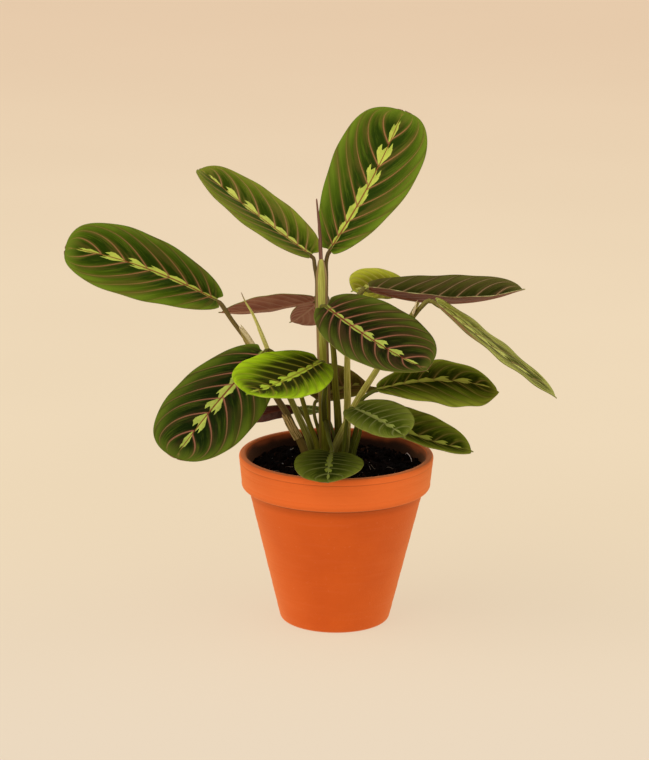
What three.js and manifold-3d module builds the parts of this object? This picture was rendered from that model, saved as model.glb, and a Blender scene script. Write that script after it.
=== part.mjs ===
// Potted prayer plant (maranta): a terracotta pot filled with soil, and the shoots, petioles and
// oval leaves that grow out of it. Millimetres and degrees, +Z up, the floor at z = 0.
// Inside the model the pot's axis is x = y = 0; the last lines move everything so that the origin
// lies under the middle of the whole plant.
import * as THREE from 'three';
import { mergeVertices } from 'three/addons/utils/BufferGeometryUtils.js';
import Module from 'manifold-3d';

const GAP = 0.3;                 // clearance between pieces that touch
const WAYS_ROUND = 48;           // facets round the pot

// Pot: a standard flower pot with a deep band under the rim.
const RIM_RADIUS = 65;
const POT_HEIGHT = 115;
const BAND_HEIGHT = 24;
const BODY_TOP_RADIUS = 58.4;    // outside, just under the band
const BASE_RADIUS = 37;
const WALL = 4.7;
const FLOOR_THICKNESS = 7;
const DRAIN_RADIUS = 9;

// Soil: fills the pot to just under the rim, a little higher round the stems.
const SOIL_EDGE = 106;
const SOIL_MOUND = 3;
const SOIL_LUMPS = 0.9;
const CROWN = [-6, 2];           // where the stems leave the soil, off the pot's axis
const STEM_FOOT = 82;            // how deep the stems stand

// Leaf blades. heading: compass angle of the midrib, 0 = +X, 90 = +Y. climb: its rise at the base;
// droop: how far it has bent down at the tip; sway: how far it has turned sideways at the tip.
// roll: the blade turned about its midrib, twist: how much more at the tip. fold: how far each half
// is lifted beside the midrib, curl: how much more at the margin. widest: where along the midrib.
// blunt: lower for a rounder tip and base.
const BLADE_THICKNESS = 0.9;
const POINT_LENGTH = 4;          // the small drawn-out tip
const BLUNTNESS = 0.85;
const DROOP_POWER = 1.3;
const WAVES = 3.5;               // margin waves along a blade
const LEAVES = [
  { name: 'leaf_far_left', base: [-80, 15, 215], length: 109, width: 68, heading: 181, climb: 28,
    droop: 20, sway: 0, roll: 20, twist: 15, fold: 7, curl: -13, widest: 0.54, lobe: 4, wave: 1.0 },
  { name: 'leaf_upper_left', base: [-18, 12, 247], length: 98, width: 62, heading: 158, climb: 31,
    droop: -4, sway: -1, roll: 7, twist: -6, fold: 13, curl: -10, widest: 0.5, lobe: 3, wave: 0.8 },
  { name: 'leaf_top', base: [-6, 8, 251], length: 106, width: 74, heading: 19, climb: 55,
    droop: -12, sway: 9, roll: -14, twist: -14, fold: 8, curl: -4, widest: 0.57, lobe: 2, wave: 0.8 },
  { name: 'leaf_lower_left', base: [-48, -20, 189], length: 101, width: 66, heading: 226, climb: -30,
    droop: 9, sway: 4, roll: 14, twist: 1, fold: 7, curl: -15, widest: 0.56, lobe: 4, wave: 1.0 },
  { name: 'leaf_young_bright', base: [-11, -30, 185], length: 84, width: 53, heading: 232, climb: -9,
    droop: -15, sway: 9, roll: 22, twist: -8, fold: 6, curl: 7, widest: 0.55, lobe: 3, wave: 0.9 },
  { name: 'leaf_centre_dark', base: [-8, -18, 219], length: 88, width: 62, heading: -34, climb: -27,
    droop: -16, sway: -5, roll: -23, twist: 8, fold: 16, curl: -8, widest: 0.52, lobe: 3, wave: 1.0 },
  { name: 'leaf_right_flat', base: [20, 5, 226], length: 106, width: 55, heading: 2, climb: -17,
    droop: -40, sway: 2, roll: 0, twist: -8, fold: 22, curl: 5, widest: 0.52, lobe: 3, wave: 0.8 },
  { name: 'leaf_right_drooping', base: [64, -33, 225], length: 103, width: 51, heading: 3, climb: -39,
    droop: -2, sway: 4, roll: -5, twist: -1, fold: 7, curl: -6, widest: 0.49, lobe: 3, wave: 0.6 },
  { name: 'leaf_mid_right', base: [26, -24, 165], length: 86, width: 65, heading: 5, climb: 14,
    droop: 40, sway: 14, roll: -4, twist: -16, fold: 6, curl: -20, widest: 0.57, lobe: 1, wave: 0.8 },
  { name: 'leaf_low_right', base: [23, -28, 147], length: 72, width: 48, heading: 3, climb: -25,
    droop: -14, sway: 3, roll: -15, twist: 2, fold: 11, curl: 9, widest: 0.48, lobe: 3, wave: 0.6 },
  { name: 'leaf_small_right', base: [11, -38, 156], length: 49, width: 40, heading: -45, climb: -6,
    droop: 13, sway: -2, roll: -12, twist: -1, fold: 8, curl: 2, widest: 0.51, lobe: 3, wave: 0.4 },
  { name: 'leaf_small_front', base: [-3, -38, 126], length: 49, width: 45, heading: -96, climb: 1,
    droop: 22, sway: 6, roll: 5, twist: -11, fold: 4, curl: -6, widest: 0.51, lobe: 3, wave: 0.4 },
  { name: 'leaf_back_left', base: [-15, 24, 214], length: 63, width: 42, heading: 175, climb: -15,
    droop: -14, sway: 1, roll: -24, twist: -6, fold: 8, curl: 5, widest: 0.43, lobe: 3, wave: 0.6,
    blunt: 1.3 },
  { name: 'leaf_back_drooping', base: [-11, 59, 207.5], length: 29, width: 34, heading: 166, climb: -45,
    droop: -13, sway: 3, roll: -39, twist: 1, fold: -11, curl: -7, widest: 0.45, lobe: 3, wave: 0.3,
    blunt: 1.3 },
  { name: 'leaf_young_back', base: [45, 38, 219], length: 38, width: 42, heading: 185, climb: 8,
    droop: 16, sway: 20, roll: 18, twist: -1, fold: 10, curl: -3, widest: 0.53, lobe: 2, wave: 0.4 },
  { name: 'leaf_low_back_left', base: [-29, 18, 142], length: 44, width: 34, heading: 151, climb: -17,
    droop: 14, sway: -1, roll: -22, twist: 0, fold: -1, curl: -2, widest: 0.5, lobe: 2, wave: 0.4 },
  { name: 'leaf_low_back_right', base: [-13, 24, 145], length: 69, width: 50, heading: 53, climb: 10,
    droop: 34, sway: 3, roll: -11, twist: -4, fold: 13, curl: 6, widest: 0.52, lobe: 1, wave: 0.6 },
  { name: 'leaf_small_back', base: [-11, 32, 135], length: 26, width: 17, heading: 125, climb: -6,
    droop: -4, sway: -1, roll: 9, twist: 0, fold: -4, curl: -8, widest: 0.5, lobe: 1, wave: 0.2 },
];

// Shoots and petioles: a path from the foot in the soil upward, with the radius at its foot and its
// tip. A stem with a leaf goes on to the seat under that leaf. Branches grow out of their shoot.
const SHOOTS = [
  { name: 'shoot_main', radius: [3.7, 3.4], path: [[-7, 0, STEM_FOOT], [-7, 0, 106], [-7.6, 0, 123],
    [-8.2, 0, 151], [-9.4, 0, 180], [-10.5, 1, 212], [-11, 2, 238], [-11.3, 3, 247]],
    branches: [
      { leaf: 'leaf_upper_left', radius: [2.2, 1.5], path: [[-11.6, 2, 198], [-13.2, 3, 218],
        [-13.8, 5, 232], [-15.4, 8, 240]] },
      { leaf: 'leaf_top', radius: [2.3, 1.6], path: [[-9.2, 0, 198], [-8.4, 2, 218], [-8, 4, 235],
        [-8, 6, 243]] },
      { leaf: 'leaf_young_bright', radius: [1.8, 1.4], path: [[-8, -1, 136], [-8.6, -8, 153],
        [-7, -18, 170], [-7, -25, 179]] },
      { leaf: 'leaf_small_front', radius: [1.8, 1.3], path: [[-7.4, -1, 138], [-6, -9, 133.5],
        [-5, -18, 129.5], [-3.6, -29, 127.5]] },
      { leaf: 'leaf_back_left', radius: [1.7, 1.3], path: [[-9.8, 1, 186], [-9.5, 8, 200],
        [-9.5, 17, 211]] },
      { leaf: 'leaf_back_drooping', radius: [1.7, 1.3], path: [[-9.8, 1, 178], [-8, 13, 195],
        [-6, 32, 206], [-7, 50, 210]] },
    ] },
  { name: 'shoot_centre', leaf: 'leaf_centre_dark', radius: [2.8, 1.6], path: [[1.6, 4, STEM_FOOT],
    [1.6, 4, 106], [1.6, 3, 123], [0.5, 1, 144], [-1, -2, 162], [-2.6, -7, 187], [-6, -13, 206],
    [-10, -15, 217]] },
  { name: 'shoot_right_flat', leaf: 'leaf_right_flat', radius: [2.6, 1.6], path: [[5, 10, STEM_FOOT],
    [5, 10, 106], [6.5, 9, 121], [7.1, 7, 146], [6.7, 6, 181], [8.2, 5, 203], [12, 4.5, 218]] },
  { name: 'shoot_right', leaf: 'leaf_right_drooping', radius: [2.4, 1.5], path: [[-3.6, -9, STEM_FOOT],
    [-3.6, -9, 106], [-1.2, -9, 120], [5.6, -8, 135], [13.3, -7, 152], [26.3, -7, 174],
    [38.5, -10, 196], [47, -20, 210], [54, -30, 222],
    [58.5, -32, 226.5]],
    branches: [
      { leaf: 'leaf_young_back', radius: [1.6, 1.2], path: [[34, -8, 188], [43, 2, 200],
        [50, 16, 208], [54, 30, 214]] },
    ] },
  { name: 'shoot_far_left', leaf: 'leaf_far_left', radius: [2.9, 1.7], path: [[-18.5, -7, STEM_FOOT],
    [-18.5, -7, 106], [-22, -7, 120], [-28.3, -5, 132], [-33.7, -3, 143], [-41, 0, 154],
    [-50, 5, 173], [-58.7, 9, 187], [-69, 13, 202]] },
  { name: 'shoot_left', radius: [2.6, 1.7], path: [[-15, 4, STEM_FOOT], [-15, 4, 106],
    [-18.3, 4, 122], [-25, 4, 137.5], [-32, 4, 153], [-40.6, 2, 171], [-46, 1, 185]] },
  { name: 'petiole_lower_left', leaf: 'leaf_lower_left', radius: [2.2, 1.4],
    path: [[-10.5, -9.5, STEM_FOOT], [-10.5, -9.5, 106], [-13, -9.5, 123], [-18.7, -9, 139],
      [-23, -8, 154], [-29, -8.5, 170], [-36, -12, 180.5], [-42, -16, 187]] },
  { name: 'petiole_small_right', leaf: 'leaf_small_right', radius: [1.8, 1.3],
    path: [[3, -15, STEM_FOOT], [3, -15, 106], [5, -17, 120], [6, -22, 136], [7, -29, 148]] },
  { name: 'petiole_mid_right', leaf: 'leaf_mid_right', radius: [2.0, 1.4],
    path: [[8.5, -1, STEM_FOOT], [8.5, -1, 106], [10.4, -3, 119], [13.5, -9, 136.5],
      [15, -17, 149], [17, -22, 158]] },
  { name: 'petiole_low_right', leaf: 'leaf_low_right', radius: [1.8, 1.3],
    path: [[10.5, -9.5, STEM_FOOT], [10.5, -9.5, 106], [12, -12, 119], [15, -18, 132],
      [17, -25, 144]] },
  { name: 'petiole_low_back_left', leaf: 'leaf_low_back_left', radius: [1.8, 1.2],
    path: [[-15, 13, STEM_FOOT], [-15, 13, 106], [-16.3, 13, 119.5], [-20, 13.5, 133]] },
  { name: 'petiole_low_back_right', leaf: 'leaf_low_back_right', radius: [1.9, 1.3],
    path: [[-7.5, 13, STEM_FOOT], [-7.5, 13, 106], [-11, 13, 123], [-15, 16, 137]] },
  { name: 'petiole_small_back', leaf: 'leaf_small_back', radius: [1.5, 1.0],
    path: [[-0.5, 17, STEM_FOOT], [-0.5, 17, 106], [-1.5, 19, 120], [-5, 23, 131]] },
];

// Leaves that are still rolled up: slender spikes that stand on a shoot's tip.
const ROLLED_LEAVES = [
  { name: 'rolled_leaf_top', colour: 'underside', radius: [1.5, 0.5], path: [[-11.4, 3.2, 247.6],
    [-12.2, 2.6, 262], [-13.4, 1.6, 275], [-14.6, 0.6, 287]] },
  { name: 'rolled_leaf_left', colour: 'young', radius: [1.5, 0.5], path: [[-46.2, 1, 185.5],
    [-51.9, 1, 199.6], [-56.5, 0, 210], [-61, -1, 218], [-63.7, -2, 224.5]] },
];

// Dry sheath scraps: thin half tubes left on a stem between two places along it. flare: how far the
// free end stands off.
const SHEATH_THICKNESS = 0.7;
const SHEATHS = [
  { name: 'dry_sheath_far_left', on: 'shoot_far_left', from: 0.74, to: 0.83, facing: 335, arc: 150,
    flare: 1.6 },
  { name: 'dry_sheath_low_left', on: 'shoot_far_left', from: 0.3, to: 0.42, facing: 250, arc: 170 },
  { name: 'dry_sheath_right', on: 'shoot_right', from: 0.885, to: 0.935, facing: 170, arc: 110,
    flare: 2.2 },
];

const COLOURS = {
  terracotta: 0xcd6a35, soil: 0x1a110b, mature: 0x2c4a1e, young: 0x7f9c2c, underside: 0x5e2430,
  petiole: 0x75802f, sheath: 0xb49a6c,
};
const ROUGHNESS = {
  terracotta: 0.85, soil: 1, mature: 0.5, young: 0.5, underside: 0.6, petiole: 0.55, sheath: 0.8,
};

const wasm = await Module();
wasm.setup();

const vec = (p) => new THREE.Vector3(p[0], p[1], p[2]);
const lerp = THREE.MathUtils.lerp;
const radians = THREE.MathUtils.degToRad;

// A closed body from its points and triangles.
function body(points, triangles) {
  const geometry = new THREE.BufferGeometry();
  const flat = points.flatMap((p) => [p.x, p.y, p.z]);
  geometry.setAttribute('position', new THREE.Float32BufferAttribute(flat, 3));
  geometry.setIndex(triangles.flat());
  return geometry;
}

function toSolid(geometry) {
  const plain = geometry.clone();
  plain.deleteAttribute('normal');
  plain.deleteAttribute('uv');
  const merged = mergeVertices(plain, 1e-4);
  const vertProperties = new Float32Array(merged.attributes.position.array);
  const triVerts = new Uint32Array(merged.index.array);
  return new wasm.Manifold(new wasm.Mesh({ numProp: 3, vertProperties, triVerts }));
}

function toGeometry(solid) {
  const mesh = solid.getMesh();
  const geometry = new THREE.BufferGeometry();
  geometry.setAttribute('position', new THREE.Float32BufferAttribute(mesh.vertProperties, 3));
  geometry.setIndex(Array.from(mesh.triVerts));
  return geometry;
}

// ---- Leaf blades ----

// The midrib: place and directions (along, across to the right, up from the face) at u = 0 to 1.
const SPINE_STEPS = 240;
function midrib(leaf) {
  const places = [vec(leaf.base)];
  const directions = [];
  for (let i = 0; i <= SPINE_STEPS; i++) {
    const u = i / SPINE_STEPS;
    const rise = radians(leaf.climb - leaf.droop * u ** DROOP_POWER);
    const turn = radians(leaf.heading + leaf.sway * u);
    directions.push(new THREE.Vector3(
      Math.cos(rise) * Math.cos(turn), Math.cos(rise) * Math.sin(turn), Math.sin(rise)));
    if (i > 0) {
      const step = directions[i].clone().add(directions[i - 1]);
      places.push(places[i - 1].clone().addScaledVector(step, leaf.length / SPINE_STEPS / 2));
    }
  }
  return (u) => {
    const at = Math.min(u * SPINE_STEPS, SPINE_STEPS - 1e-6);
    const i = Math.floor(at);
    const place = places[i].clone().lerp(places[i + 1], at - i);
    const along = directions[i].clone().lerp(directions[i + 1], at - i).normalize();
    const turn = radians(leaf.heading + leaf.sway * u);
    const level = new THREE.Vector3(Math.sin(turn), -Math.cos(turn), 0);
    const top = level.clone().cross(along);
    const roll = radians(leaf.roll + leaf.twist * u);
    const across = level.clone().multiplyScalar(Math.cos(roll)).addScaledVector(top, Math.sin(roll));
    const up = top.multiplyScalar(Math.cos(roll)).addScaledVector(level, -Math.sin(roll));
    return { place, along, across, up };
  };
}

// Half the blade's width at u: an oval, with a small drawn-out point.
function halfWidth(leaf, u) {
  const blunt = leaf.blunt ?? BLUNTNESS;
  const before = blunt * leaf.widest;
  const after = blunt * (1 - leaf.widest);
  const most = leaf.widest ** before * (1 - leaf.widest) ** after;
  const main = Math.min(u * leaf.length / (leaf.length - POINT_LENGTH / 2), 1);
  const oval = main ** before * (1 - main) ** after / most * leaf.width / 2;
  const left = (1 - u) * leaf.length / POINT_LENGTH;
  const point = left < 2.2 ? 0.28 * POINT_LENGTH * Math.min(left, 1) ** 0.8 : 0;
  return Math.max(oval, point);
}

// A point of the blade's upper face, v = -1 at the left margin to 1 at the right margin.
function bladePoint(leaf, spine, u, v) {
  const { place, along, across, up } = spine(u);
  const out = Math.abs(v) * halfWidth(leaf, u);
  const lift = radians(leaf.fold + leaf.curl * out / leaf.width);
  const ripple = Math.sin(2 * Math.PI * WAVES * u + (v < 0 ? 1.3 : 0)) * Math.sin(Math.PI * u);
  const high = out * Math.sin(lift) + leaf.wave * v * v * ripple;
  const notch = THREE.MathUtils.smoothstep(out, 2, 8);
  const back = leaf.lobe * notch * Math.max(1 - u / 0.35, 0) ** 1.5 * Math.abs(v) ** 1.5;
  return place.clone()
    .addScaledVector(across, Math.sign(v) * out * Math.cos(lift))
    .addScaledVector(up, high)
    .addScaledVector(along, -back);
}

// The blade: rows of points set closer at both ends, with the same triangles on both faces.
function leafBlade(leaf) {
  const rows = leaf.length > 80 ? 14 : leaf.length > 40 ? 12 : 8;
  const half = leaf.length > 60 ? 3 : 2;
  const columns = 2 * half + 1;
  const spine = midrib(leaf);
  const points = [];
  for (const face of [0, 1]) {
    for (let i = 0; i <= rows; i++) {
      const u = (1 - Math.cos(Math.PI * i / rows)) / 2;
      const sink = spine(u).up.multiplyScalar(-BLADE_THICKNESS * face);
      const ends = i === 0 || i === rows;
      for (let j = ends ? half : 0; j <= (ends ? half : columns - 1); j++) {
        points.push(bladePoint(leaf, spine, u, ends ? 0 : j / half - 1).add(sink));
      }
    }
  }
  const perFace = points.length / 2;
  const at = (i, j) => (i === 0 ? 0 : i === rows ? perFace - 1 : 1 + (i - 1) * columns + j);
  const triangles = [];
  const bothFaces = (a, b, c) => {
    triangles.push([a, b, c], [a + perFace, c + perFace, b + perFace]);
  };
  for (let j = 0; j < columns - 1; j++) {
    bothFaces(at(0, 0), at(1, j + 1), at(1, j));
    bothFaces(at(rows, 0), at(rows - 1, j), at(rows - 1, j + 1));
    for (let i = 1; i < rows - 1; i++) {
      bothFaces(at(i, j), at(i, j + 1), at(i + 1, j + 1));
      bothFaces(at(i, j), at(i + 1, j + 1), at(i + 1, j));
    }
  }
  const edge = [];
  for (let i = 0; i < rows; i++) edge.push(at(i, 0));
  for (let i = rows; i > 0; i--) edge.push(at(i, columns - 1));
  edge.forEach((a, k) => {
    const b = edge[(k + 1) % edge.length];
    triangles.push([a, b, b + perFace], [a, b + perFace, a + perFace]);
  });
  return body(points, triangles);
}

// ---- Stems ----

// The last two points of a petiole: just behind the blade's base, in line with the midrib.
const SEAT_CLEARANCE = 0.8;
const SEAT_LENGTH = 2.5;
function seat(leafName) {
  const { place, along, up } = midrib(LEAVES.find((leaf) => leaf.name === leafName))(0);
  const middle = place.clone().addScaledVector(up, -BLADE_THICKNESS / 2);
  return [SEAT_LENGTH, SEAT_CLEARANCE].map((back) => middle.clone().addScaledVector(along, -back));
}

function stemCurve(stem) {
  const points = stem.path.map(vec).concat(stem.leaf ? seat(stem.leaf) : []);
  return new THREE.CatmullRomCurve3(points, false, 'centripetal');
}

// A round tapering tube with closed ends along a curve, made wider all over by extra.
const STEM_SIDES = 8;
function taperedTube(curve, radius, extra = 0, share = 1) {
  const steps = Math.max(3, Math.round(curve.getLength() * share / 9));
  const frames = curve.computeFrenetFrames(steps, false);
  const points = [];
  const triangles = [];
  for (let i = 0; i <= steps; i++) {
    const t = i / steps * share;
    const r = lerp(radius[0], radius[1], t) + extra;
    for (let k = 0; k < STEM_SIDES; k++) {
      const angle = 2 * Math.PI * k / STEM_SIDES;
      points.push(curve.getPointAt(t)
        .addScaledVector(frames.normals[i], r * Math.cos(angle))
        .addScaledVector(frames.binormals[i], r * Math.sin(angle)));
    }
  }
  const foot = points.push(curve.getPointAt(0)) - 1;
  const tip = points.push(curve.getPointAt(share)) - 1;
  for (let k = 0; k < STEM_SIDES; k++) {
    const next = (k + 1) % STEM_SIDES;
    const last = steps * STEM_SIDES;
    triangles.push([foot, next, k], [tip, last + k, last + next]);
    for (let i = 0; i < last; i += STEM_SIDES) {
      triangles.push([i + k, i + next, i + STEM_SIDES + next]);
      triangles.push([i + k, i + STEM_SIDES + next, i + STEM_SIDES + k]);
    }
  }
  return body(points, triangles);
}

function shoot(stem) {
  const main = taperedTube(stemCurve(stem), stem.radius);
  if (!stem.branches) return main;
  return toGeometry(stem.branches.reduce(
    (grown, branch) => grown.add(toSolid(taperedTube(stemCurve(branch), branch.radius))),
    toSolid(main)));
}

// A scrap of dry sheath: part of a thin tube round a stem, narrowing to its free end.
function sheathScrap(sheath) {
  const stem = SHOOTS.find((s) => s.name === sheath.on);
  const curve = stemCurve(stem);
  const steps = 5;
  const spread = 6;
  const points = [];
  for (const face of [1, 0]) {
    for (let i = 0; i <= steps; i++) {
      const t = lerp(sheath.from, sheath.to, i / steps);
      const along = curve.getTangentAt(t);
      const side = vec([Math.cos(radians(sheath.facing)), Math.sin(radians(sheath.facing)), 0]);
      side.addScaledVector(along, -side.dot(along)).normalize();
      const third = along.clone().cross(side);
      const flare = (sheath.flare ?? 1.1) * (i / steps) ** 2;
      const r = lerp(stem.radius[0], stem.radius[1], t) + GAP + 0.12 + flare + face * SHEATH_THICKNESS;
      const open = radians(sheath.arc) / 2 * (1 - 0.75 * (i / steps) ** 2);
      for (let k = 0; k <= spread; k++) {
        const angle = open * (2 * k / spread - 1);
        points.push(curve.getPointAt(t)
          .addScaledVector(side, r * Math.cos(angle)).addScaledVector(third, r * Math.sin(angle)));
      }
    }
  }
  const perFace = points.length / 2;
  const row = spread + 1;
  const triangles = [];
  for (let i = 0; i < steps; i++) {
    for (let k = 0; k < spread; k++) {
      const a = i * row + k;
      const quad = [a, a + 1, a + row + 1, a + row];
      triangles.push([quad[0], quad[1], quad[2]], [quad[0], quad[2], quad[3]]);
      const inner = quad.map((n) => n + perFace);
      triangles.push([inner[0], inner[2], inner[1]], [inner[0], inner[3], inner[2]]);
    }
  }
  const edge = [];
  for (let k = 0; k < spread; k++) edge.push(k);
  for (let i = 0; i < steps; i++) edge.push(i * row + spread);
  for (let k = spread; k > 0; k--) edge.push(steps * row + k);
  for (let i = steps; i > 0; i--) edge.push(i * row);
  edge.forEach((a, k) => {
    const b = edge[(k + 1) % edge.length];
    triangles.push([b, a, a + perFace], [b, a + perFace, b + perFace]);
  });
  return body(points, triangles);
}

// ---- Pot and soil ----

// Inside radius of the pot at a height.
const INSIDE_BASE = BASE_RADIUS - WALL + 1;
const INSIDE_RIM = RIM_RADIUS - WALL;
const insideRadius = (z) => lerp(INSIDE_BASE, INSIDE_RIM,
  (z - FLOOR_THICKNESS) / (POT_HEIGHT - FLOOR_THICKNESS));

function pot() {
  const bandFoot = POT_HEIGHT - BAND_HEIGHT;
  const profile = [
    [DRAIN_RADIUS, 0], [BASE_RADIUS - 1.5, 0], [BASE_RADIUS - 0.3, 0.6], [BASE_RADIUS, 2],
    [BODY_TOP_RADIUS, bandFoot], [BODY_TOP_RADIUS + 2.2, bandFoot + 0.9],
    [BODY_TOP_RADIUS + 3.9, bandFoot + 2.6], [BODY_TOP_RADIUS + 4.8, bandFoot + 5],
    [RIM_RADIUS - 0.3, POT_HEIGHT - 3], [RIM_RADIUS, POT_HEIGHT - 1.6],
    [RIM_RADIUS - 0.6, POT_HEIGHT - 0.5], [RIM_RADIUS - 2, POT_HEIGHT],
    [INSIDE_RIM + 1.6, POT_HEIGHT], [INSIDE_RIM + 0.4, POT_HEIGHT - 0.6], [INSIDE_RIM, POT_HEIGHT - 2],
    [INSIDE_BASE, FLOOR_THICKNESS], [DRAIN_RADIUS, FLOOR_THICKNESS], [DRAIN_RADIUS, 0],
  ];
  const lathe = new THREE.LatheGeometry(profile.map(([r, z]) => new THREE.Vector2(r, z)), WAYS_ROUND);
  lathe.rotateX(Math.PI / 2);
  return toGeometry(toSolid(lathe));
}

// Height of the soil's surface: a low mound round the crown, and lumps.
function soilTop(x, y) {
  const away = Math.hypot(x - CROWN[0], y - CROWN[1]);
  const lumps = Math.sin(0.31 * x + 0.4) * Math.cos(0.27 * y) + 0.6 * Math.sin(0.19 * (x + 2 * y));
  return SOIL_EDGE + SOIL_MOUND * Math.exp(-((away / 28) ** 2)) + SOIL_LUMPS * lumps;
}

function soil() {
  const foot = FLOOR_THICKNESS + GAP;
  const footRadius = insideRadius(foot) - GAP;
  const rings = [0, 0.25, 0.5, 0.75, 1];
  const points = [];
  const triangles = [];
  const topRadius = insideRadius(SOIL_EDGE) - GAP - 0.2;
  for (const share of rings.slice(1)) {
    for (let k = 0; k < WAYS_ROUND; k++) {
      const angle = 2 * Math.PI * k / WAYS_ROUND;
      const x = share * topRadius * Math.cos(angle);
      const y = share * topRadius * Math.sin(angle);
      points.push(vec([x, y, soilTop(x, y) - (share === 1 ? 0.8 : 0)]));
    }
  }
  for (let k = 0; k < WAYS_ROUND; k++) {
    const angle = 2 * Math.PI * k / WAYS_ROUND;
    points.push(vec([footRadius * Math.cos(angle), footRadius * Math.sin(angle), foot]));
  }
  const centre = points.push(vec([0, 0, soilTop(0, 0)])) - 1;
  const bottom = points.push(vec([0, 0, foot])) - 1;
  for (let k = 0; k < WAYS_ROUND; k++) {
    const next = (k + 1) % WAYS_ROUND;
    triangles.push([centre, k, next], [bottom, 4 * WAYS_ROUND + next, 4 * WAYS_ROUND + k]);
    for (let ring = 0; ring < 4; ring++) {
      const inner = ring * WAYS_ROUND;
      const outer = inner + WAYS_ROUND;
      triangles.push([inner + k, outer + k, outer + next], [inner + k, outer + next, inner + next]);
    }
  }
  const whole = toSolid(body(points, triangles));
  return toGeometry(SHOOTS.reduce((left, stem) => {
    const foot = vec(stem.path[0]).setZ(STEM_FOOT - GAP);
    const leaving = stemCurve(stem);
    const up = new THREE.CatmullRomCurve3(
      [foot, ...leaving.points.slice(1, 4)], false, 'centripetal');
    return left.subtract(toSolid(taperedTube(up, [stem.radius[0], stem.radius[0]], GAP)));
  }, whole));
}

// ---- Assembly ----

const plant = new THREE.Group();
function place(name, geometry, look) {
  const shaded = geometry.index ? geometry.toNonIndexed() : geometry;
  shaded.computeVertexNormals();
  const material = new THREE.MeshStandardMaterial(
    { color: COLOURS[look], roughness: ROUGHNESS[look], metalness: 0 });
  const mesh = new THREE.Mesh(shaded, material);
  mesh.name = name;
  plant.add(mesh);
}

const YOUNG = ['leaf_young_bright', 'leaf_young_back'];
place('pot', pot(), 'terracotta');
place('soil', soil(), 'soil');
for (const stem of SHOOTS) place(stem.name, shoot(stem), 'petiole');
for (const leaf of LEAVES) place(leaf.name, leafBlade(leaf), YOUNG.includes(leaf.name) ? 'young' : 'mature');
for (const roll of ROLLED_LEAVES) place(roll.name, taperedTube(stemCurve(roll), roll.radius), roll.colour);
for (const sheath of SHEATHS) place(sheath.name, sheathScrap(sheath), 'sheath');

// The origin: on the floor, under the middle of the plant's whole extent.
const extent = new THREE.Box3().setFromObject(plant);
const middle = extent.getCenter(new THREE.Vector3());
plant.position.set(-middle.x, -middle.y, -extent.min.z);
plant.updateMatrixWorld(true);

export default plant;
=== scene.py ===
import math
import random
from dataclasses import dataclass

import bpy
import numpy as np
from mathutils import Matrix, Vector, noise


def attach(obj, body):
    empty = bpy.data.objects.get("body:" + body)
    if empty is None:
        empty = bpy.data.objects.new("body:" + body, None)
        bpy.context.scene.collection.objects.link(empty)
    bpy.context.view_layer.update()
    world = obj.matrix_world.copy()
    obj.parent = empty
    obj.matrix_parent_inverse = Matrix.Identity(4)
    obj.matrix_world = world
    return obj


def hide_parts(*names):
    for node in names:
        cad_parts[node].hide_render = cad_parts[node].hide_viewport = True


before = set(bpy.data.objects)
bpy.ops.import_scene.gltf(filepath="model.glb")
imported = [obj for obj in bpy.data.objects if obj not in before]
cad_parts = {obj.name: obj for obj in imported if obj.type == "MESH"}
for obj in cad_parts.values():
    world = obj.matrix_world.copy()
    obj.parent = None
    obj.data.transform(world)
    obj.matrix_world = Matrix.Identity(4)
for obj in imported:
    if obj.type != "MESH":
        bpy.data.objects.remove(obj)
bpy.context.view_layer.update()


# ---- Pot ----
# A thrown and turned terracotta flower pot with a deep band under its rim and a drain hole in its
# foot. The clay is fired bare: orange, a little dusty along the lip, with faint turning lines.

MM = 0.001
POT_AXIS = Vector((18.860, 9.421, 0.0))  # where the pot stands, from the middle of the whole plant
POT_HEIGHT = 115.0
RIM_RADIUS = 65.0
BAND_FOOT = 91.0  # the height at which the band under the rim begins
BODY_TOP_RADIUS = 58.4
BASE_RADIUS = 37.0
WALL = 4.7
FLOOR_THICKNESS = 7.0
DRAIN_RADIUS = 9.0
BAND_LINES = (97.4, 104.6, 106.0, 110.4)  # heights of the fine lines that the tool left on the band
LINE_DEPTH = 0.22
LINE_WIDTH = 0.5
POT_WAYS_ROUND = 160
BODY_STEPS = 30
BAND_STEPS = 34
INSIDE_STEPS = 12
CORNER_STEPS = 6


def in_pot_frame(x, y, z):
    """A place in millimetres from the foot of the pot's axis, as metres in the shared frame."""
    return (Vector((x, y, z)) + POT_AXIS) * MM


def pot_inside_radius(z):
    share = (z - FLOOR_THICKNESS) / (POT_HEIGHT - FLOOR_THICKNESS)
    inside_base = BASE_RADIUS - WALL + 1.0
    return inside_base + (RIM_RADIUS - WALL - inside_base) * share


def rounded(corner_r, corner_z, radius, start, end):
    """Points round a corner of the profile, from angle start to end in degrees."""
    turns = [start + (end - start) * k / CORNER_STEPS for k in range(CORNER_STEPS + 1)]
    return [(corner_r + radius * math.cos(math.radians(t)),
             corner_z + radius * math.sin(math.radians(t))) for t in turns]


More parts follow.
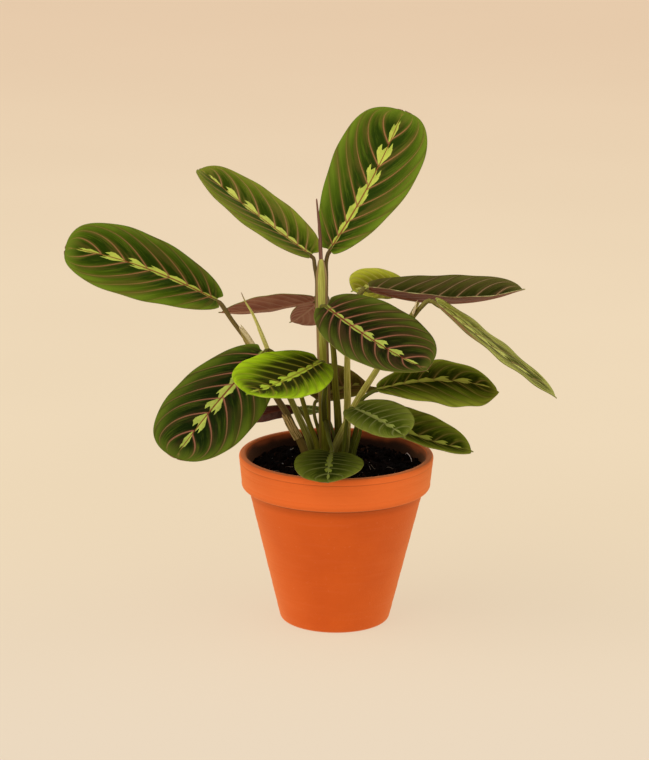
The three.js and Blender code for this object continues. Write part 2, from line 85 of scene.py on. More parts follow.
profile = [(DRAIN_RADIUS, 3.0), (DRAIN_RADIUS + 0.5, 0.6), (DRAIN_RADIUS + 1.4, 0.0),
           (20.0, 0.0), (BASE_RADIUS - 3.0, 0.0)]
profile += rounded(BASE_RADIUS - 2.9, 3.0, 3.0, -80, -14)
for step in range(1, BODY_STEPS + 1):
    z = 3.0 + (BAND_FOOT - 3.4) * step / BODY_STEPS
    slope_radius = BASE_RADIUS + (BODY_TOP_RADIUS - BASE_RADIUS) * (z - 2.0) / (BAND_FOOT - 2.0)
    profile.append((slope_radius + 0.07 * math.sin(z * 0.9) + 0.05 * math.sin(z * 0.37), z))
profile += [(BODY_TOP_RADIUS + 0.5, BAND_FOOT + 0.1), (BODY_TOP_RADIUS + 1.6, BAND_FOOT + 0.55)]
profile += rounded(BODY_TOP_RADIUS + 1.9, BAND_FOOT + 3.6, 2.9, -80, -8)
for step in range(1, BAND_STEPS + 1):
    z = BAND_FOOT + 4.2 + (POT_HEIGHT - 2.6 - BAND_FOOT - 4.2) * step / BAND_STEPS
    slope_radius = BODY_TOP_RADIUS + 4.8 + (RIM_RADIUS - 0.1 - BODY_TOP_RADIUS - 4.8) * (
        (z - BAND_FOOT - 5.0) / (POT_HEIGHT - 3.0 - BAND_FOOT - 5.0))
    lines = sum(LINE_DEPTH * math.exp(-((z - h) / LINE_WIDTH) ** 2) for h in BAND_LINES)
    profile.append((slope_radius - lines, z))
profile += rounded(RIM_RADIUS - 2.2, POT_HEIGHT - 2.1, 2.1, 10, 82)
profile += rounded(RIM_RADIUS - WALL + 1.7, POT_HEIGHT - 1.7, 1.7, 96, 176)
for step in range(1, INSIDE_STEPS):
    z = POT_HEIGHT - 2.0 - (POT_HEIGHT - 4.0 - FLOOR_THICKNESS) * step / INSIDE_STEPS
    profile.append((pot_inside_radius(z), z))
profile += [(pot_inside_radius(FLOOR_THICKNESS + 2.0) - 0.4, FLOOR_THICKNESS + 0.8),
            (pot_inside_radius(FLOOR_THICKNESS) - 2.0, FLOOR_THICKNESS),
            (DRAIN_RADIUS + 1.0, FLOOR_THICKNESS), (DRAIN_RADIUS, FLOOR_THICKNESS - 0.8),
            (DRAIN_RADIUS, 3.0)]

bpy.ops.object.select_all(action="DESELECT")
bpy.ops.mesh.primitive_plane_add(size=MM, location=in_pot_frame(profile[0][0], 0, profile[0][1]))
pot = bpy.context.object
pot.name = pot.data.name = "terracotta_pot"
bpy.ops.object.mode_set(mode="EDIT")
bpy.ops.mesh.select_mode(type="VERT")
bpy.ops.mesh.select_all(action="SELECT")
bpy.ops.mesh.merge(type="CENTER")
for (r, z), (next_r, next_z) in zip(profile, profile[1:]):
    step = Vector((next_r - r, 0, next_z - z)) * MM
    bpy.ops.mesh.extrude_vertices_move(TRANSFORM_OT_translate={"value": step})
bpy.ops.mesh.select_all(action="SELECT")
bpy.ops.mesh.spin(steps=POT_WAYS_ROUND, angle=math.tau, center=in_pot_frame(0, 0, 0),
                  axis=(0, 0, 1))
bpy.ops.mesh.select_all(action="SELECT")
bpy.ops.mesh.remove_doubles(threshold=0.02 * MM)
bpy.ops.mesh.normals_make_consistent(inside=False)
bpy.ops.object.mode_set(mode="OBJECT")
bpy.ops.object.transform_apply(location=True, rotation=True, scale=True)
bpy.ops.object.shade_smooth()


def tint(red, green, blue):
    """A colour as painted, 0 to 255, as the light it gives back."""
    def light(part):
        part /= 255.0
        return part / 12.92 if part <= 0.04045 else ((part + 0.055) / 1.055) ** 2.4
    return (light(red), light(green), light(blue), 1.0)


def wire(tree, value, entry):
    """Gives an entry of a node a number, a colour as painted, a reading or another node's output."""
    if isinstance(value, (int, float)):
        entry.default_value = value
    elif isinstance(value, tuple):
        entry.default_value = tint(*value)
    else:
        tree.links.new(value.socket if isinstance(value, Reading) else value, entry)


class Reading:
    """A number read at every point of a surface, that sums can be done with."""

    def __init__(self, tree, socket):
        self.tree, self.socket = tree, socket

    def math(self, operation, *others):
        node = self.tree.nodes.new("ShaderNodeMath")
        node.operation = operation
        for value, entry in zip((self,) + others, node.inputs):
            wire(self.tree, value, entry)
        return Reading(self.tree, node.outputs[0])

    def __add__(self, other):
        return self.math("ADD", other)

    def __sub__(self, other):
        return self.math("SUBTRACT", other)

    def __mul__(self, other):
        return self.math("MULTIPLY", other)

    def __pow__(self, other):
        return self.math("POWER", other)

    def rest(self):
        """What is left of it up to 1."""
        return self.math("MULTIPLY_ADD", -1.0, 1.0)

    def rising(self, low, high):
        """0 below low, 1 above high, eased between; it falls where low is the larger."""
        node = self.tree.nodes.new("ShaderNodeMapRange")
        node.interpolation_type = "SMOOTHSTEP"
        for name, value in (("Value", self), ("From Min", low), ("From Max", high)):
            wire(self.tree, value, node.inputs[name])
        return Reading(self.tree, node.outputs["Result"])


class Finish:
    """A finish for one kind of surface, built up coat by coat, in colours as painted, 0 to 255."""

    def __init__(self, name, roughness=0.5, gloss=0.5):
        self.material = bpy.data.materials.new(name)
        self.material.use_nodes = True
        self.tree = self.material.node_tree
        self.shader = self.tree.nodes["Principled BSDF"]
        self.set("Roughness", roughness)
        self.set("Specular IOR Level", gloss)

    def set(self, name, value):
        wire(self.tree, value, self.shader.inputs[name])

    def node(self, kind, **entries):
        node = self.tree.nodes.new("ShaderNode" + kind)
        for name, value in entries.items():
            wire(self.tree, value, node.inputs[name])
        return node

    def place(self, stretch=(1, 1, 1), middle=(0, 0, 0)):
        """Where a point of the piece is, from middle, each way multiplied by stretch."""
        fitted = self.node("Mapping", Vector=self.node("TexCoord").outputs["Object"])
        fitted.inputs["Scale"].default_value = stretch
        fitted.inputs["Location"].default_value = [-m * s for m, s in zip(middle, stretch)]
        return fitted.outputs["Vector"]

    def parts(self, vector):
        """The three readings of a place or direction."""
        split = self.node("SeparateXYZ", Vector=vector)
        return [Reading(self.tree, output) for output in split.outputs]

    def joined(self, x, y, z=0.0):
        """A place made from three readings or numbers."""
        return self.node("CombineXYZ", X=x, Y=y, Z=z).outputs[0]

    def carried(self, name):
        node = self.node("Attribute")
        node.attribute_name = name
        return node

    def mark(self, name):
        """A reading that the piece's mesh carries at each of its points."""
        return Reading(self.tree, self.carried(name).outputs["Fac"])

    def mark_place(self, name):
        """A place that the piece's mesh carries at each of its points."""
        return self.carried(name).outputs["Vector"]

    def mottle(self, vector, scale, detail=4.0, roughness=0.55):
        """Cloudy unevenness, mostly 0.3 to 0.7."""
        node = self.node("TexNoise", Vector=vector, Scale=scale, Detail=detail, Roughness=roughness)
        return Reading(self.tree, node.outputs["Fac"])

    def grains(self, vector, scale):
        """How far each point is from the nearest of many scattered grains."""
        node = self.node("TexVoronoi", Vector=vector, Scale=scale)
        return Reading(self.tree, node.outputs["Distance"])

    def coat(self, share, under, over):
        """The colour over laid on the colour under, by share."""
        node = self.node("Mix")
        node.data_type = "RGBA"
        for at, value in ((0, share), (6, under), (7, over)):  # its share and its two colours
            wire(self.tree, value, node.inputs[at])
        return node.outputs[2]

    def paint(self, share, under, over):
        """Colours the surface: the colour over laid on the colour under, by share."""
        self.skin = self.coat(share, under, over)
        self.set("Base Color", self.skin)

    def over(self, share, colour):
        """Lays one more coat on the surface, by share."""
        self.paint(share, self.skin, colour)

    def relief(self, reading, depth_mm):
        """Fine unevenness, depth_mm high from 0 to 1, over any that was there before."""
        bump = self.node("Bump", Height=reading, Distance=depth_mm * MM)
        for before in self.shader.inputs["Normal"].links:
            wire(self.tree, before.from_socket, bump.inputs["Normal"])
        self.set("Normal", bump.outputs["Normal"])


def under_lip(depth):
    """The height that is depth millimetres under the pot's lip, in metres."""
    return (POT_HEIGHT - depth) * MM


def over_band_foot(height):
    """The height that is height millimetres over the foot of the band, in metres."""
    return (BAND_FOOT + height) * MM


INSIDE_SLOPE = 0.25  # how much the inside widens for each millimetre up

clay = Finish("terracotta", gloss=0.1)
clay.set("Diffuse Roughness", 0.9)
clay.set("Sheen Weight", 0.6)
clay.set("Sheen Roughness", 0.5)
clay.set("Sheen Tint", (255, 182, 124))
near = clay.place(middle=POT_AXIS * MM)
x, y, z = clay.parts(near)
cloud = clay.mottle(near, 22.0, detail=5.0)
grain = clay.mottle(near, 900.0, detail=3.0)
pale_grain = clay.mottle(near, 420.0, detail=2.0)
wiped = clay.mottle(clay.place((1, 1, 14), POT_AXIS * MM), 24.0)
clay.paint(cloud.rising(0.32, 0.7), (218, 94, 26), (225, 101, 30))
clay.over(wiped.rising(0.5, 0.8) * 0.2, (229, 116, 58))
clay.over(grain.rising(0.62, 0.8) * 0.18, (176, 70, 30))
clay.over(pale_grain.rising(0.64, 0.8) * 0.2, (236, 150, 104))
# Painted light: the band is painted lighter than the body, standing in for the stronger light that
# falls on it.
clay.over(z.rising(over_band_foot(0.0), over_band_foot(5.0)) * 0.8, (250, 130, 56))
tool_line = (z - under_lip(4.6)).math("ABSOLUTE").rising(0.5 * MM, 0.1 * MM)
clay.over(tool_line * wiped.rising(0.3, 0.6) * 0.4, (170, 74, 34))
lip = z.rising(under_lip(0.9), under_lip(0.2))
clay.over(lip * (cloud.rising(0.2, 0.62) * 0.35 + 0.35), (172, 98, 62))
# Painted shade under the band: the body is painted darker just below it, with a darker line in the
# crease at the band's foot.
shadowed = z.rising(over_band_foot(-7.0), over_band_foot(0.0)) * z.rising(
    over_band_foot(1.2), over_band_foot(0.2))
clay.over(shadowed * 0.35, (150, 58, 20))
crease = (z - over_band_foot(0.2)).math("ABSOLUTE").rising(1.3 * MM, 0.3 * MM)
clay.over(crease * 0.5, (112, 42, 14))
outward = (x * x + y * y).math("SQRT")
inside_foot = (pot_inside_radius(POT_HEIGHT) - INSIDE_SLOPE * POT_HEIGHT) * MM
inner = (outward - z * INSIDE_SLOPE - inside_foot).rising(2.2 * MM, 1.0 * MM)
# Painted shade inside the pot: the inner wall is painted darker from just under the lip, then near
# black further down along a wavering edge, where little light reaches.
clay.over(inner * z.rising(under_lip(0.6), under_lip(1.6)) * 0.6, (120, 58, 34))
inside_shade_edge = z + (clay.mottle(near, 34.0, detail=2.0) - 0.5) * (10.0 * MM)
clay.over(inner * inside_shade_edge.rising(under_lip(1.5), under_lip(6.0)) * 0.9, (40, 13, 5))
clay.over(inner * inside_shade_edge.rising(under_lip(3.0), under_lip(7.5)) * 0.85, (9, 4, 3))
clay.set("Roughness", cloud * 0.18 + 0.72)
clay.relief(grain, 0.12)
clay.relief(clay.mottle(clay.place((1, 1, 60), POT_AXIS * MM), 14.0, detail=3.0), 0.18)
pot.data.materials.append(clay.material)


def set_in_plant(piece, slot, *nodes):
    """Fixes a piece in the plant and hides the solids that it stands for. The finish slot is not used.
    """
    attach(piece, "root")
    if nodes:
        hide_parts(*nodes)


set_in_plant(pot, "terracotta", "pot")


# ---- Soil ----
# Potting compost filled to just under the rim and heaped a little round the stems: a lumpy dark
# bed, with loose crumbs, bits of bark and a few pale grit grains lying on it.

SOIL_EDGE = 106.0
SOIL_MOUND = 3.0
SOIL_LUMPS = 0.9
CROWN = (-6.0, 2.0)
GAP = 0.3
SOIL_ROWS = 130
SOIL_WAYS_ROUND = 300
TOP_SHARE = 0.8  # of the rows lie on the surface, and the rest go down the wall and under
UNDER_SHARE = 0.25  # of that rest lie under the soil
EDGE_FROM = 0.93  # the share of the radius past which the surface sinks towards the wall
EDGE_SUNK = 0.9
STEMS_CLEAR = 9.0  # round the crown, where fewer crumbs lie


def soil_height(x, y):
    """Height of the soil's surface in millimetres: the mound, its waves and its lumps."""
    away = math.hypot(x - CROWN[0], y - CROWN[1])
    waves = math.sin(0.31 * x + 0.4) * math.cos(0.27 * y) + 0.6 * math.sin(0.19 * (x + 2 * y))
    lumps = noise.voronoi(Vector((x, y, 0)) / 4.2)[0]
    fine = noise.voronoi(Vector((x, y, 7)) / 1.7)[0]
    rough = noise.noise(Vector((x, y, 3)) / 9.0)
    return (SOIL_EDGE + SOIL_MOUND * math.exp(-((away / 28.0) ** 2)) + SOIL_LUMPS * waves
            + 1.7 * (0.42 - lumps[0]) + 0.8 * (0.4 - fine[0]) + 1.1 * rough)


def wrapped_sheet(name, rows, columns):
    """A flat sheet of small squares, rows along and columns across, ready to be laid in shape."""
    bpy.ops.object.select_all(action="DESELECT")
    bpy.ops.mesh.primitive_grid_add(x_subdivisions=rows, y_subdivisions=columns, size=1)
    sheet = bpy.context.object
    sheet.name = sheet.data.name = name
    flat = np.empty(len(sheet.data.vertices) * 3)
    sheet.data.vertices.foreach_get("co", flat)
    flat = flat.reshape(-1, 3)
    return sheet, flat[:, 0] + 0.5, flat[:, 1] + 0.5


def lay(sheet, places, closed=True):
    """Moves the sheet's points to places in millimetres about the pot, and closes its seams."""
    points = (np.asarray(places) + np.array(POT_AXIS)) * MM
    sheet.data.vertices.foreach_set("co", points.ravel())
    sheet.data.update()
    bpy.ops.object.mode_set(mode="EDIT")
    bpy.ops.mesh.select_all(action="SELECT")
    bpy.ops.mesh.remove_doubles(threshold=0.01 * MM)
    if closed:
        bpy.ops.mesh.normals_make_consistent(inside=False)
    bpy.ops.object.mode_set(mode="OBJECT")
    bpy.ops.object.shade_smooth()


def joined_as(name, pieces):
    """Several pieces joined into one mesh."""
    bpy.ops.object.select_all(action="DESELECT")
    for piece in pieces:
        piece.select_set(True)
    bpy.context.view_layer.objects.active = pieces[0]
    if len(pieces) > 1:
        bpy.ops.object.join()
    joined = bpy.context.object
    joined.name = joined.data.name = name
    return joined


soil, down, around = wrapped_sheet("potting_soil", SOIL_ROWS, SOIL_WAYS_ROUND)
soil_radius = pot_inside_radius(SOIL_EDGE) - GAP - 0.2
soil_foot = FLOOR_THICKNESS + GAP
soil_places = []
for row, turn in zip(down, around):
    left = (1.0 - row) / (1.0 - TOP_SHARE)
    if row <= TOP_SHARE + 1e-6:
        r = soil_radius * min(row / TOP_SHARE, 1.0)
    elif left > UNDER_SHARE:
        z = soil_foot + (SOIL_EDGE - 2.0 - soil_foot) * (left - UNDER_SHARE) / (1 - UNDER_SHARE)
        r = pot_inside_radius(z) - GAP
    else:
        z, r = soil_foot, (pot_inside_radius(soil_foot) - GAP) * left / UNDER_SHARE
    x, y = r * math.cos(math.tau * turn), r * math.sin(math.tau * turn)
    if row <= TOP_SHARE + 1e-6:
        past_edge = max(0.0, r / soil_radius - EDGE_FROM) / (1 - EDGE_FROM)
        z = soil_height(x, y) - EDGE_SUNK * past_edge
    soil_places.append((x, y, z))
lay(soil, soil_places)

compost = Finish("dark_compost", roughness=0.95, gloss=0.04)
near = compost.place()
lumps = compost.grains(near, 320.0)
fleck = compost.mottle(near, 700.0, detail=2.0)
compost.paint(compost.mottle(near, 90.0, detail=6.0).rising(0.35, 0.7), (10, 5, 3), (27, 16, 11))
# Painted shade: the compost is painted darker in the low gaps between its lumps.
compost.over(lumps.rising(0.3, 0.9) * 0.7, (12, 8, 6))
compost.over(fleck.rising(0.68, 0.82) * 0.4, (84, 64, 48))
compost.relief(lumps.rest(), 1.1)
compost.relief(fleck, 0.4)
soil.data.materials.append(compost.material)
set_in_plant(soil, "soil", "soil")


def one_crumb(name, roundness, seed):
    """One rough lump, a millimetre across, round the frame's origin."""
    bpy.ops.object.select_all(action="DESELECT")
    bpy.ops.mesh.primitive_ico_sphere_add(subdivisions=roundness, radius=0.5 * MM)
    crumb = bpy.context.object
    crumb.name = name
    for vertex in crumb.data.vertices:
        push = noise.noise(vertex.co.normalized() * 1.4 + Vector((seed, 0, 0)))
        vertex.co *= 1.0 + 0.75 * push
    return crumb


def strewn(name, pattern, count, size, spread, finish, flat):
    """Copies of a lump, each with its own mesh, strewn over the soil and joined in one piece."""
    copies = []
    while len(copies) < count:
        angle = soil_draw.uniform(0, math.tau)
        r = spread * math.sqrt(soil_draw.random())
        x, y = r * math.cos(angle), r * math.sin(angle)
        if math.hypot(x - CROWN[0], y - CROWN[1]) < STEMS_CLEAR * soil_draw.random():
            continue
        across = soil_draw.uniform(*size)
        lump = bpy.data.objects.new(name, pattern.data.copy())
        bpy.context.collection.objects.link(lump)
        turn = Matrix.Rotation(soil_draw.uniform(0, math.tau), 4, Vector(
            [soil_draw.uniform(-1, 1) for _ in range(3)]).normalized())
        shape = Matrix.Diagonal((soil_draw.uniform(0.8, 1.3), soil_draw.uniform(0.7, 1.1), flat, 1))
        seat = in_pot_frame(x, y, soil_height(x, y) + 0.12 * across)
        lump.data.transform(Matrix.Translation(seat) @ turn @ shape @ Matrix.Scale(across, 4))
        copies.append(lump)
    joined = joined_as(name, copies)
    joined.data.materials.clear()
    joined.data.materials.append(finish.material)
    bpy.data.objects.remove(pattern)
    set_in_plant(joined, "soil")


bark = Finish("bark_chips", roughness=0.9, gloss=0.06)
near = bark.place()
bark.paint(bark.mottle(near, 260.0).rising(0.3, 0.7), (26, 15, 10), (70, 46, 30))
bark.relief(bark.mottle(near, 900.0), 0.4)

grit = Finish("pale_grit", roughness=0.85, gloss=0.2)
near = grit.place()
grit.paint(grit.mottle(near, 500.0).rising(0.35, 0.65), (84, 84, 90), (168, 166, 162))
grit.relief(grit.mottle(near, 1400.0), 0.3)

soil_draw = random.Random(11)
crumb_spread = soil_radius - 1.6
strewn("soil_crumbs_small", one_crumb("crumb", 2, 0.3), 620, (0.9, 2.4), crumb_spread, compost, 0.75)
strewn("soil_lumps", one_crumb("lump", 3, 4.1), 90, (2.6, 5.2), crumb_spread - 1.5, compost, 0.75)
strewn("bark_bits", one_crumb("chip", 2, 8.6), 70, (1.6, 4.2), crumb_spread - 1, bark, 0.28)
strewn("pale_grit", one_crumb("grain", 2, 2.2), 30, (0.5, 1.3), crumb_spread - 1, grit, 0.75)


# ---- Leaf blades ----
# Eighteen oval prayer-plant leaves, each one thin sheet with a strong midrib. The upper face is
# dark green with pink-brown side veins and a row of yellow-green patches down the midrib; the
# underside is wine red. The blades come before the stems, whose tips are set to them.

BLADE_THICKNESS = 0.5  # of the sheet between the ribs
RIB_THICKNESS = 1.3  # of the blade at its midrib, which stands out underneath
POINT_LENGTH = 4.0
DROOP_POWER = 1.3
WAVES = 3.5
WAVE_HEIGHT = 0.4
QUILT_HEIGHT = 0.34
GROOVE_DEPTH = 0.45
VEINS = 8.4  # down each half of an ordinary leaf
FIRST_VEIN = 0.14
SPINE_STEPS = 240


@dataclass
class Leaf:
    """One leaf's measures, in millimetres, degrees and shares."""

    name: str
    base: tuple  # where the blade leaves its stem
    length: float
    width: float
    heading: float  # of the midrib, seen from above
    climb: float  # of the midrib at its base
    droop: float  # how much less it climbs by the tip
    sway: float  # how much its heading turns by the tip
    roll: float  # of the blade about its midrib
    twist: float  # how much more it is rolled by the tip
    fold: float  # of each half, up from the midrib
    curl: float  # how much steeper a half grows over one width of the blade
    widest: float  # where, along the midrib
    lobe: float  # how far the base runs back beside the stem
    wave: float  # of the margin
    patches: float  # the width of the pale patches, as a share of the half width
    finish: str
    sweep: float = 1.0  # of the side veins towards the tip
    veins: float = 1.0  # how many there are, against an ordinary leaf
    slim: float = 0.85  # 1 is a plain ellipse; more is slimmer at both ends
    pointed: bool = True
    tip_bend: float = 1.0  # how far the tip bends down
    wedge: float = 0.0  # where set, a straight tip: half its width for each mm left
    under: str = ""  # its underside, where that isn't the finish's own


LEAVES = [
    Leaf("far_left", (-80, 15, 215), 109, 68, 181, 28, 20, 0, 20, 15, 7, -13, 0.54, 4, 1.0, 0.13,
         "mature", sweep=1.35, pointed=False, tip_bend=4.0),
    Leaf("upper_left", (-18, 12, 247), 98, 62, 158, 31, -4, -1, 7, -6, 13, -10, 0.5, 3, 0.8, 0.17,
         "sunlit", sweep=1.25, pointed=False, tip_bend=2.0),
    Leaf("top", (-6, 8, 251), 106, 74, 19, 55, -12, 9, -14, -14, 8, -4, 0.57, 2, 0.8, 0.18, "mature",
         sweep=1.3, pointed=False, tip_bend=4.0),
    Leaf("lower_left", (-48, -20, 189), 101, 66, 226, -30, 9, 4, 14, 1, 7, -15, 0.56, 4, 1.0, 0.17,
         "dark", sweep=1.2, pointed=False, tip_bend=2.5),
    Leaf("young_bright", (-11, -30, 185), 84, 53, 232, -9, -15, 9, 22, -8, 6, 7, 0.55, 3, 0.9, 0.15,
         "lime", veins=1.1, sweep=1.1),
    Leaf("centre_dark", (-8, -18, 219), 88, 62, -34, -27, -16, -5, -23, 8, 16, -8, 0.52, 3, 1.0, 0.13,
         "centre", veins=1.15, sweep=1.15),
    Leaf("right_flat", (20, 5, 226), 106, 55, 2, -17, -40, 2, 0, -8, 22, 5, 0.5, 3, 0.8, 0.14, "dusky",
         slim=1.08, veins=1.1),
    Leaf("right_drooping", (64, -33, 225), 103, 51, 3, -39, -2, 4, -5, -1, 7, -6, 0.49, 3, 1.6, 0.14,
         "olive", sweep=1.4),
    Leaf("mid_right", (26, -24, 165), 86, 68, 5, 14, 40, 14, -4, -16, 6, -20, 0.57, 1, 2.0, 0.13,
         "bronze", slim=1.0, wedge=1.7),
    Leaf("low_right", (23, -28, 147), 72, 48, 3, -25, -14, 3, -15, 2, 11, 9, 0.48, 3, 0.6, 0.15,
         "bronze"),
    Leaf("small_right", (11, -38, 156), 49, 40, -45, -6, 13, -2, -12, -1, 8, 2, 0.51, 3, 0.4, 0.13,
         "small", sweep=0.7),
    Leaf("small_front", (-3, -38, 126), 49, 45, -96, 1, 22, 6, 5, -11, 4, -6, 0.51, 3, 0.4, 0.12,
         "small_painted_shade", sweep=0.6, pointed=False),
    Leaf("back_left", (-15, 24, 214), 66, 42, 175, -15, -14, 1, -24, -6, 8, 5, 0.43, 3, 0.6, 0.17,
         "mature", slim=1.45, tip_bend=0),
    Leaf("back_drooping", (-11, 59, 207.5), 29, 34, 166, -45, -13, 3, -39, 1, -11, -7, 0.45, 3, 0.3,
         0.17, "mature", slim=1.3, tip_bend=0, under="wine_painted_light"),
    Leaf("young_back", (45, 38, 219), 38, 42, 185, 8, 16, 20, 18, -1, 10, -3, 0.53, 2, 0.4, 0.16,
         "lime_back"),
    Leaf("low_back_left", (-29, 18, 142), 44, 34, 151, -17, 14, -1, -22, 0, -1, -2, 0.5, 2, 0.4, 0.15,
         "low_back"),
    Leaf("low_back_right", (-13, 24, 145), 69, 50, 53, 10, 34, 3, -11, -4, 13, 6, 0.52, 1, 0.6, 0.1,
         "shaded"),
    Leaf("small_back", (-11, 32, 135), 26, 17, 125, -6, -4, -1, 9, 0, -4, -8, 0.5, 1, 0.2, 0.12,
         "small", sweep=0.7),
]


def midrib(leaf, u):
    """Place, and the ways along, across to the right and up, at shares u of the midrib."""
    share = np.linspace(0.0, 1.0, SPINE_STEPS + 1)
    rise = np.radians(leaf.climb - leaf.droop * share ** DROOP_POWER)
    turn = np.radians(leaf.heading + leaf.sway * share)
    ways = np.stack([np.cos(rise) * np.cos(turn), np.cos(rise) * np.sin(turn), np.sin(rise)], 1)
    steps = (ways[1:] + ways[:-1]) * leaf.length / SPINE_STEPS / 2
    spots = np.vstack([np.zeros(3), np.cumsum(steps, 0)]) + np.array(leaf.base, float)
    u = np.clip(np.asarray(u, float), 0.0, 1.0)
    place = np.stack([np.interp(u, share, spots[:, k]) for k in range(3)], -1)
    along = np.stack([np.interp(u, share, ways[:, k]) for k in range(3)], -1)
    along /= np.linalg.norm(along, axis=-1, keepdims=True)
    turn = np.radians(leaf.heading + leaf.sway * u)
    level = np.stack([np.sin(turn), -np.cos(turn), np.zeros_like(turn)], -1)
    top = np.cross(level, along)
    roll = np.radians(leaf.roll + leaf.twist * u)[..., None]
    across = level * np.cos(roll) + top * np.sin(roll)
    up = top * np.cos(roll) - level * np.sin(roll)
    return place, along, across, up


def half_width(leaf, u):
    """Half the blade's width: an oval, with a small drawn-out point."""
    before = leaf.slim * leaf.widest
    after = leaf.slim * (1 - leaf.widest)
    most = leaf.widest ** before * (1 - leaf.widest) ** after
    main = np.minimum(u * leaf.length / (leaf.length - POINT_LENGTH / 2), 1.0)
    oval = main ** before * (1 - main) ** after / most * leaf.width / 2
    if leaf.wedge:
        taper = leaf.wedge * (1 - u) * leaf.length + 0.3
        oval = (np.maximum(oval, 1e-6) ** -4 + taper ** -4) ** -0.25
    if not leaf.pointed:
        return oval
    left = (1 - u) * leaf.length / POINT_LENGTH
    point = np.where(left < 2.2, 0.24 * POINT_LENGTH * np.minimum(left, 1.0) ** 0.8, 0.0)
    return np.maximum(oval, point)


def vein_reach(a, leaf):
    """How far along the midrib a side vein has swept at a share a of the half width."""
    return leaf.sweep * (0.22 * a + 0.17 * a ** 3)


def vein_foot(u, a, leaf):
    """Where the side vein through a point leaves the midrib. Veins near the base sweep less."""
    low, high = np.full_like(u, -0.3), u.copy()
    for _ in range(28):
        middle = (low + high) / 2
        swept = 1 - np.exp(-np.maximum(middle + 0.03, 0.0) / 0.15)
        over = middle + vein_reach(a, leaf) * swept > u
        high = np.where(over, middle, high)
        low = np.where(over, low, middle)
    return (low + high) / 2


def vein_number(foot, leaf):
    """Counts the side veins along the midrib: a whole number at each, closer at the base."""
    return np.where(foot > 0, VEINS * leaf.veins * np.maximum(foot, 1e-6) ** 0.62 - FIRST_VEIN,
                    20 * foot - FIRST_VEIN)


def blade_form(leaf, u, v):
    """The blade's upper face and the marks on it, at shares u along and v across."""
    place, along, across, up = midrib(leaf, u)
    a = np.abs(v)
    out = a * half_width(leaf, u)
    lift = np.radians(leaf.fold + leaf.curl * out / leaf.width)
    ripple = np.sin(math.tau * WAVES * u + np.where(v < 0, 1.3, 0.0)) * np.sin(math.pi * u)
    notch = np.clip((out - 2) / 6, 0, 1)
    notch = notch * notch * (3 - 2 * notch)
    back = leaf.lobe * notch * np.maximum(1 - u / 0.35, 0) ** 1.5 * a ** 1.5

    uneven = 0.10 * np.sin(9 * u + 3 * leaf.length) * np.sign(v)
    number = vein_number(vein_foot(u, a, leaf), leaf) + uneven
    between = np.sin(math.pi * number) ** 2
    body = np.clip(u / 0.08, 0, 1) * np.clip((1 - u) / 0.1, 0, 1) * np.clip((1 - a) / 0.15, 0, 1)
    quilt = QUILT_HEIGHT * (between - 0.25) * body * np.clip(out / 4, 0, 1)
    groove = GROOVE_DEPTH * np.exp(-((out / 1.3) ** 2)) * np.clip((1 - u) / 0.15, 0, 1)
    high = (out * np.sin(lift) + WAVE_HEIGHT * leaf.wave * v * v * ripple + quilt - groove
            - leaf.tip_bend * np.clip((u - 0.9) / 0.1, 0, 1) ** 2)
    points = (place + across * (np.sign(v) * out * np.cos(lift))[..., None]
              + up * high[..., None] - along * back[..., None])

    half_step = 0.005
    ahead = vein_number(vein_foot(u + half_step, a, leaf), leaf)
    behind = vein_number(vein_foot(u - half_step, a, leaf), leaf)
    per_mm = np.maximum((ahead - behind) / (2 * half_step * leaf.length), 0.01)
    sideways = vein_number(vein_foot(u, np.minimum(a + 0.01, 1.2), leaf), leaf)
    sideways = (number - uneven - sideways) / (0.01 * np.maximum(half_width(leaf, u), 3.0))
    step_foot = u - 0.45 * vein_reach(a, leaf) * (1 - np.exp(-u / 0.15))
    return points, dict(
        along=u, across=v, out=out, vein=number, spacing=1.0 / np.hypot(per_mm, sideways),
        patch=vein_number(step_foot, leaf) + uneven, beside=a / leaf.patches)


def carry(sheet, **marks):
    """Writes a reading or a place at each of the sheet's points, for its finish to follow."""
    for name, values in marks.items():
        kind, field = ("FLOAT", "value") if values.ndim == 1 else ("FLOAT_VECTOR", "vector")
        mark = sheet.data.attributes.new(name, kind, "POINT")
        mark.data.foreach_set(field, values.astype(np.float32).ravel())


def thickened(sheet, thickness, offset, **settings):
    """Gives a sheet its thickness: below it where offset is -1, half on each side where it is 0."""
    solid = sheet.modifiers.new("thickness", "SOLIDIFY")
    solid.thickness = thickness * MM
    solid.offset = offset
    for name, value in settings.items():
        setattr(solid, name, value)
    bpy.ops.object.modifier_apply(modifier=solid.name)


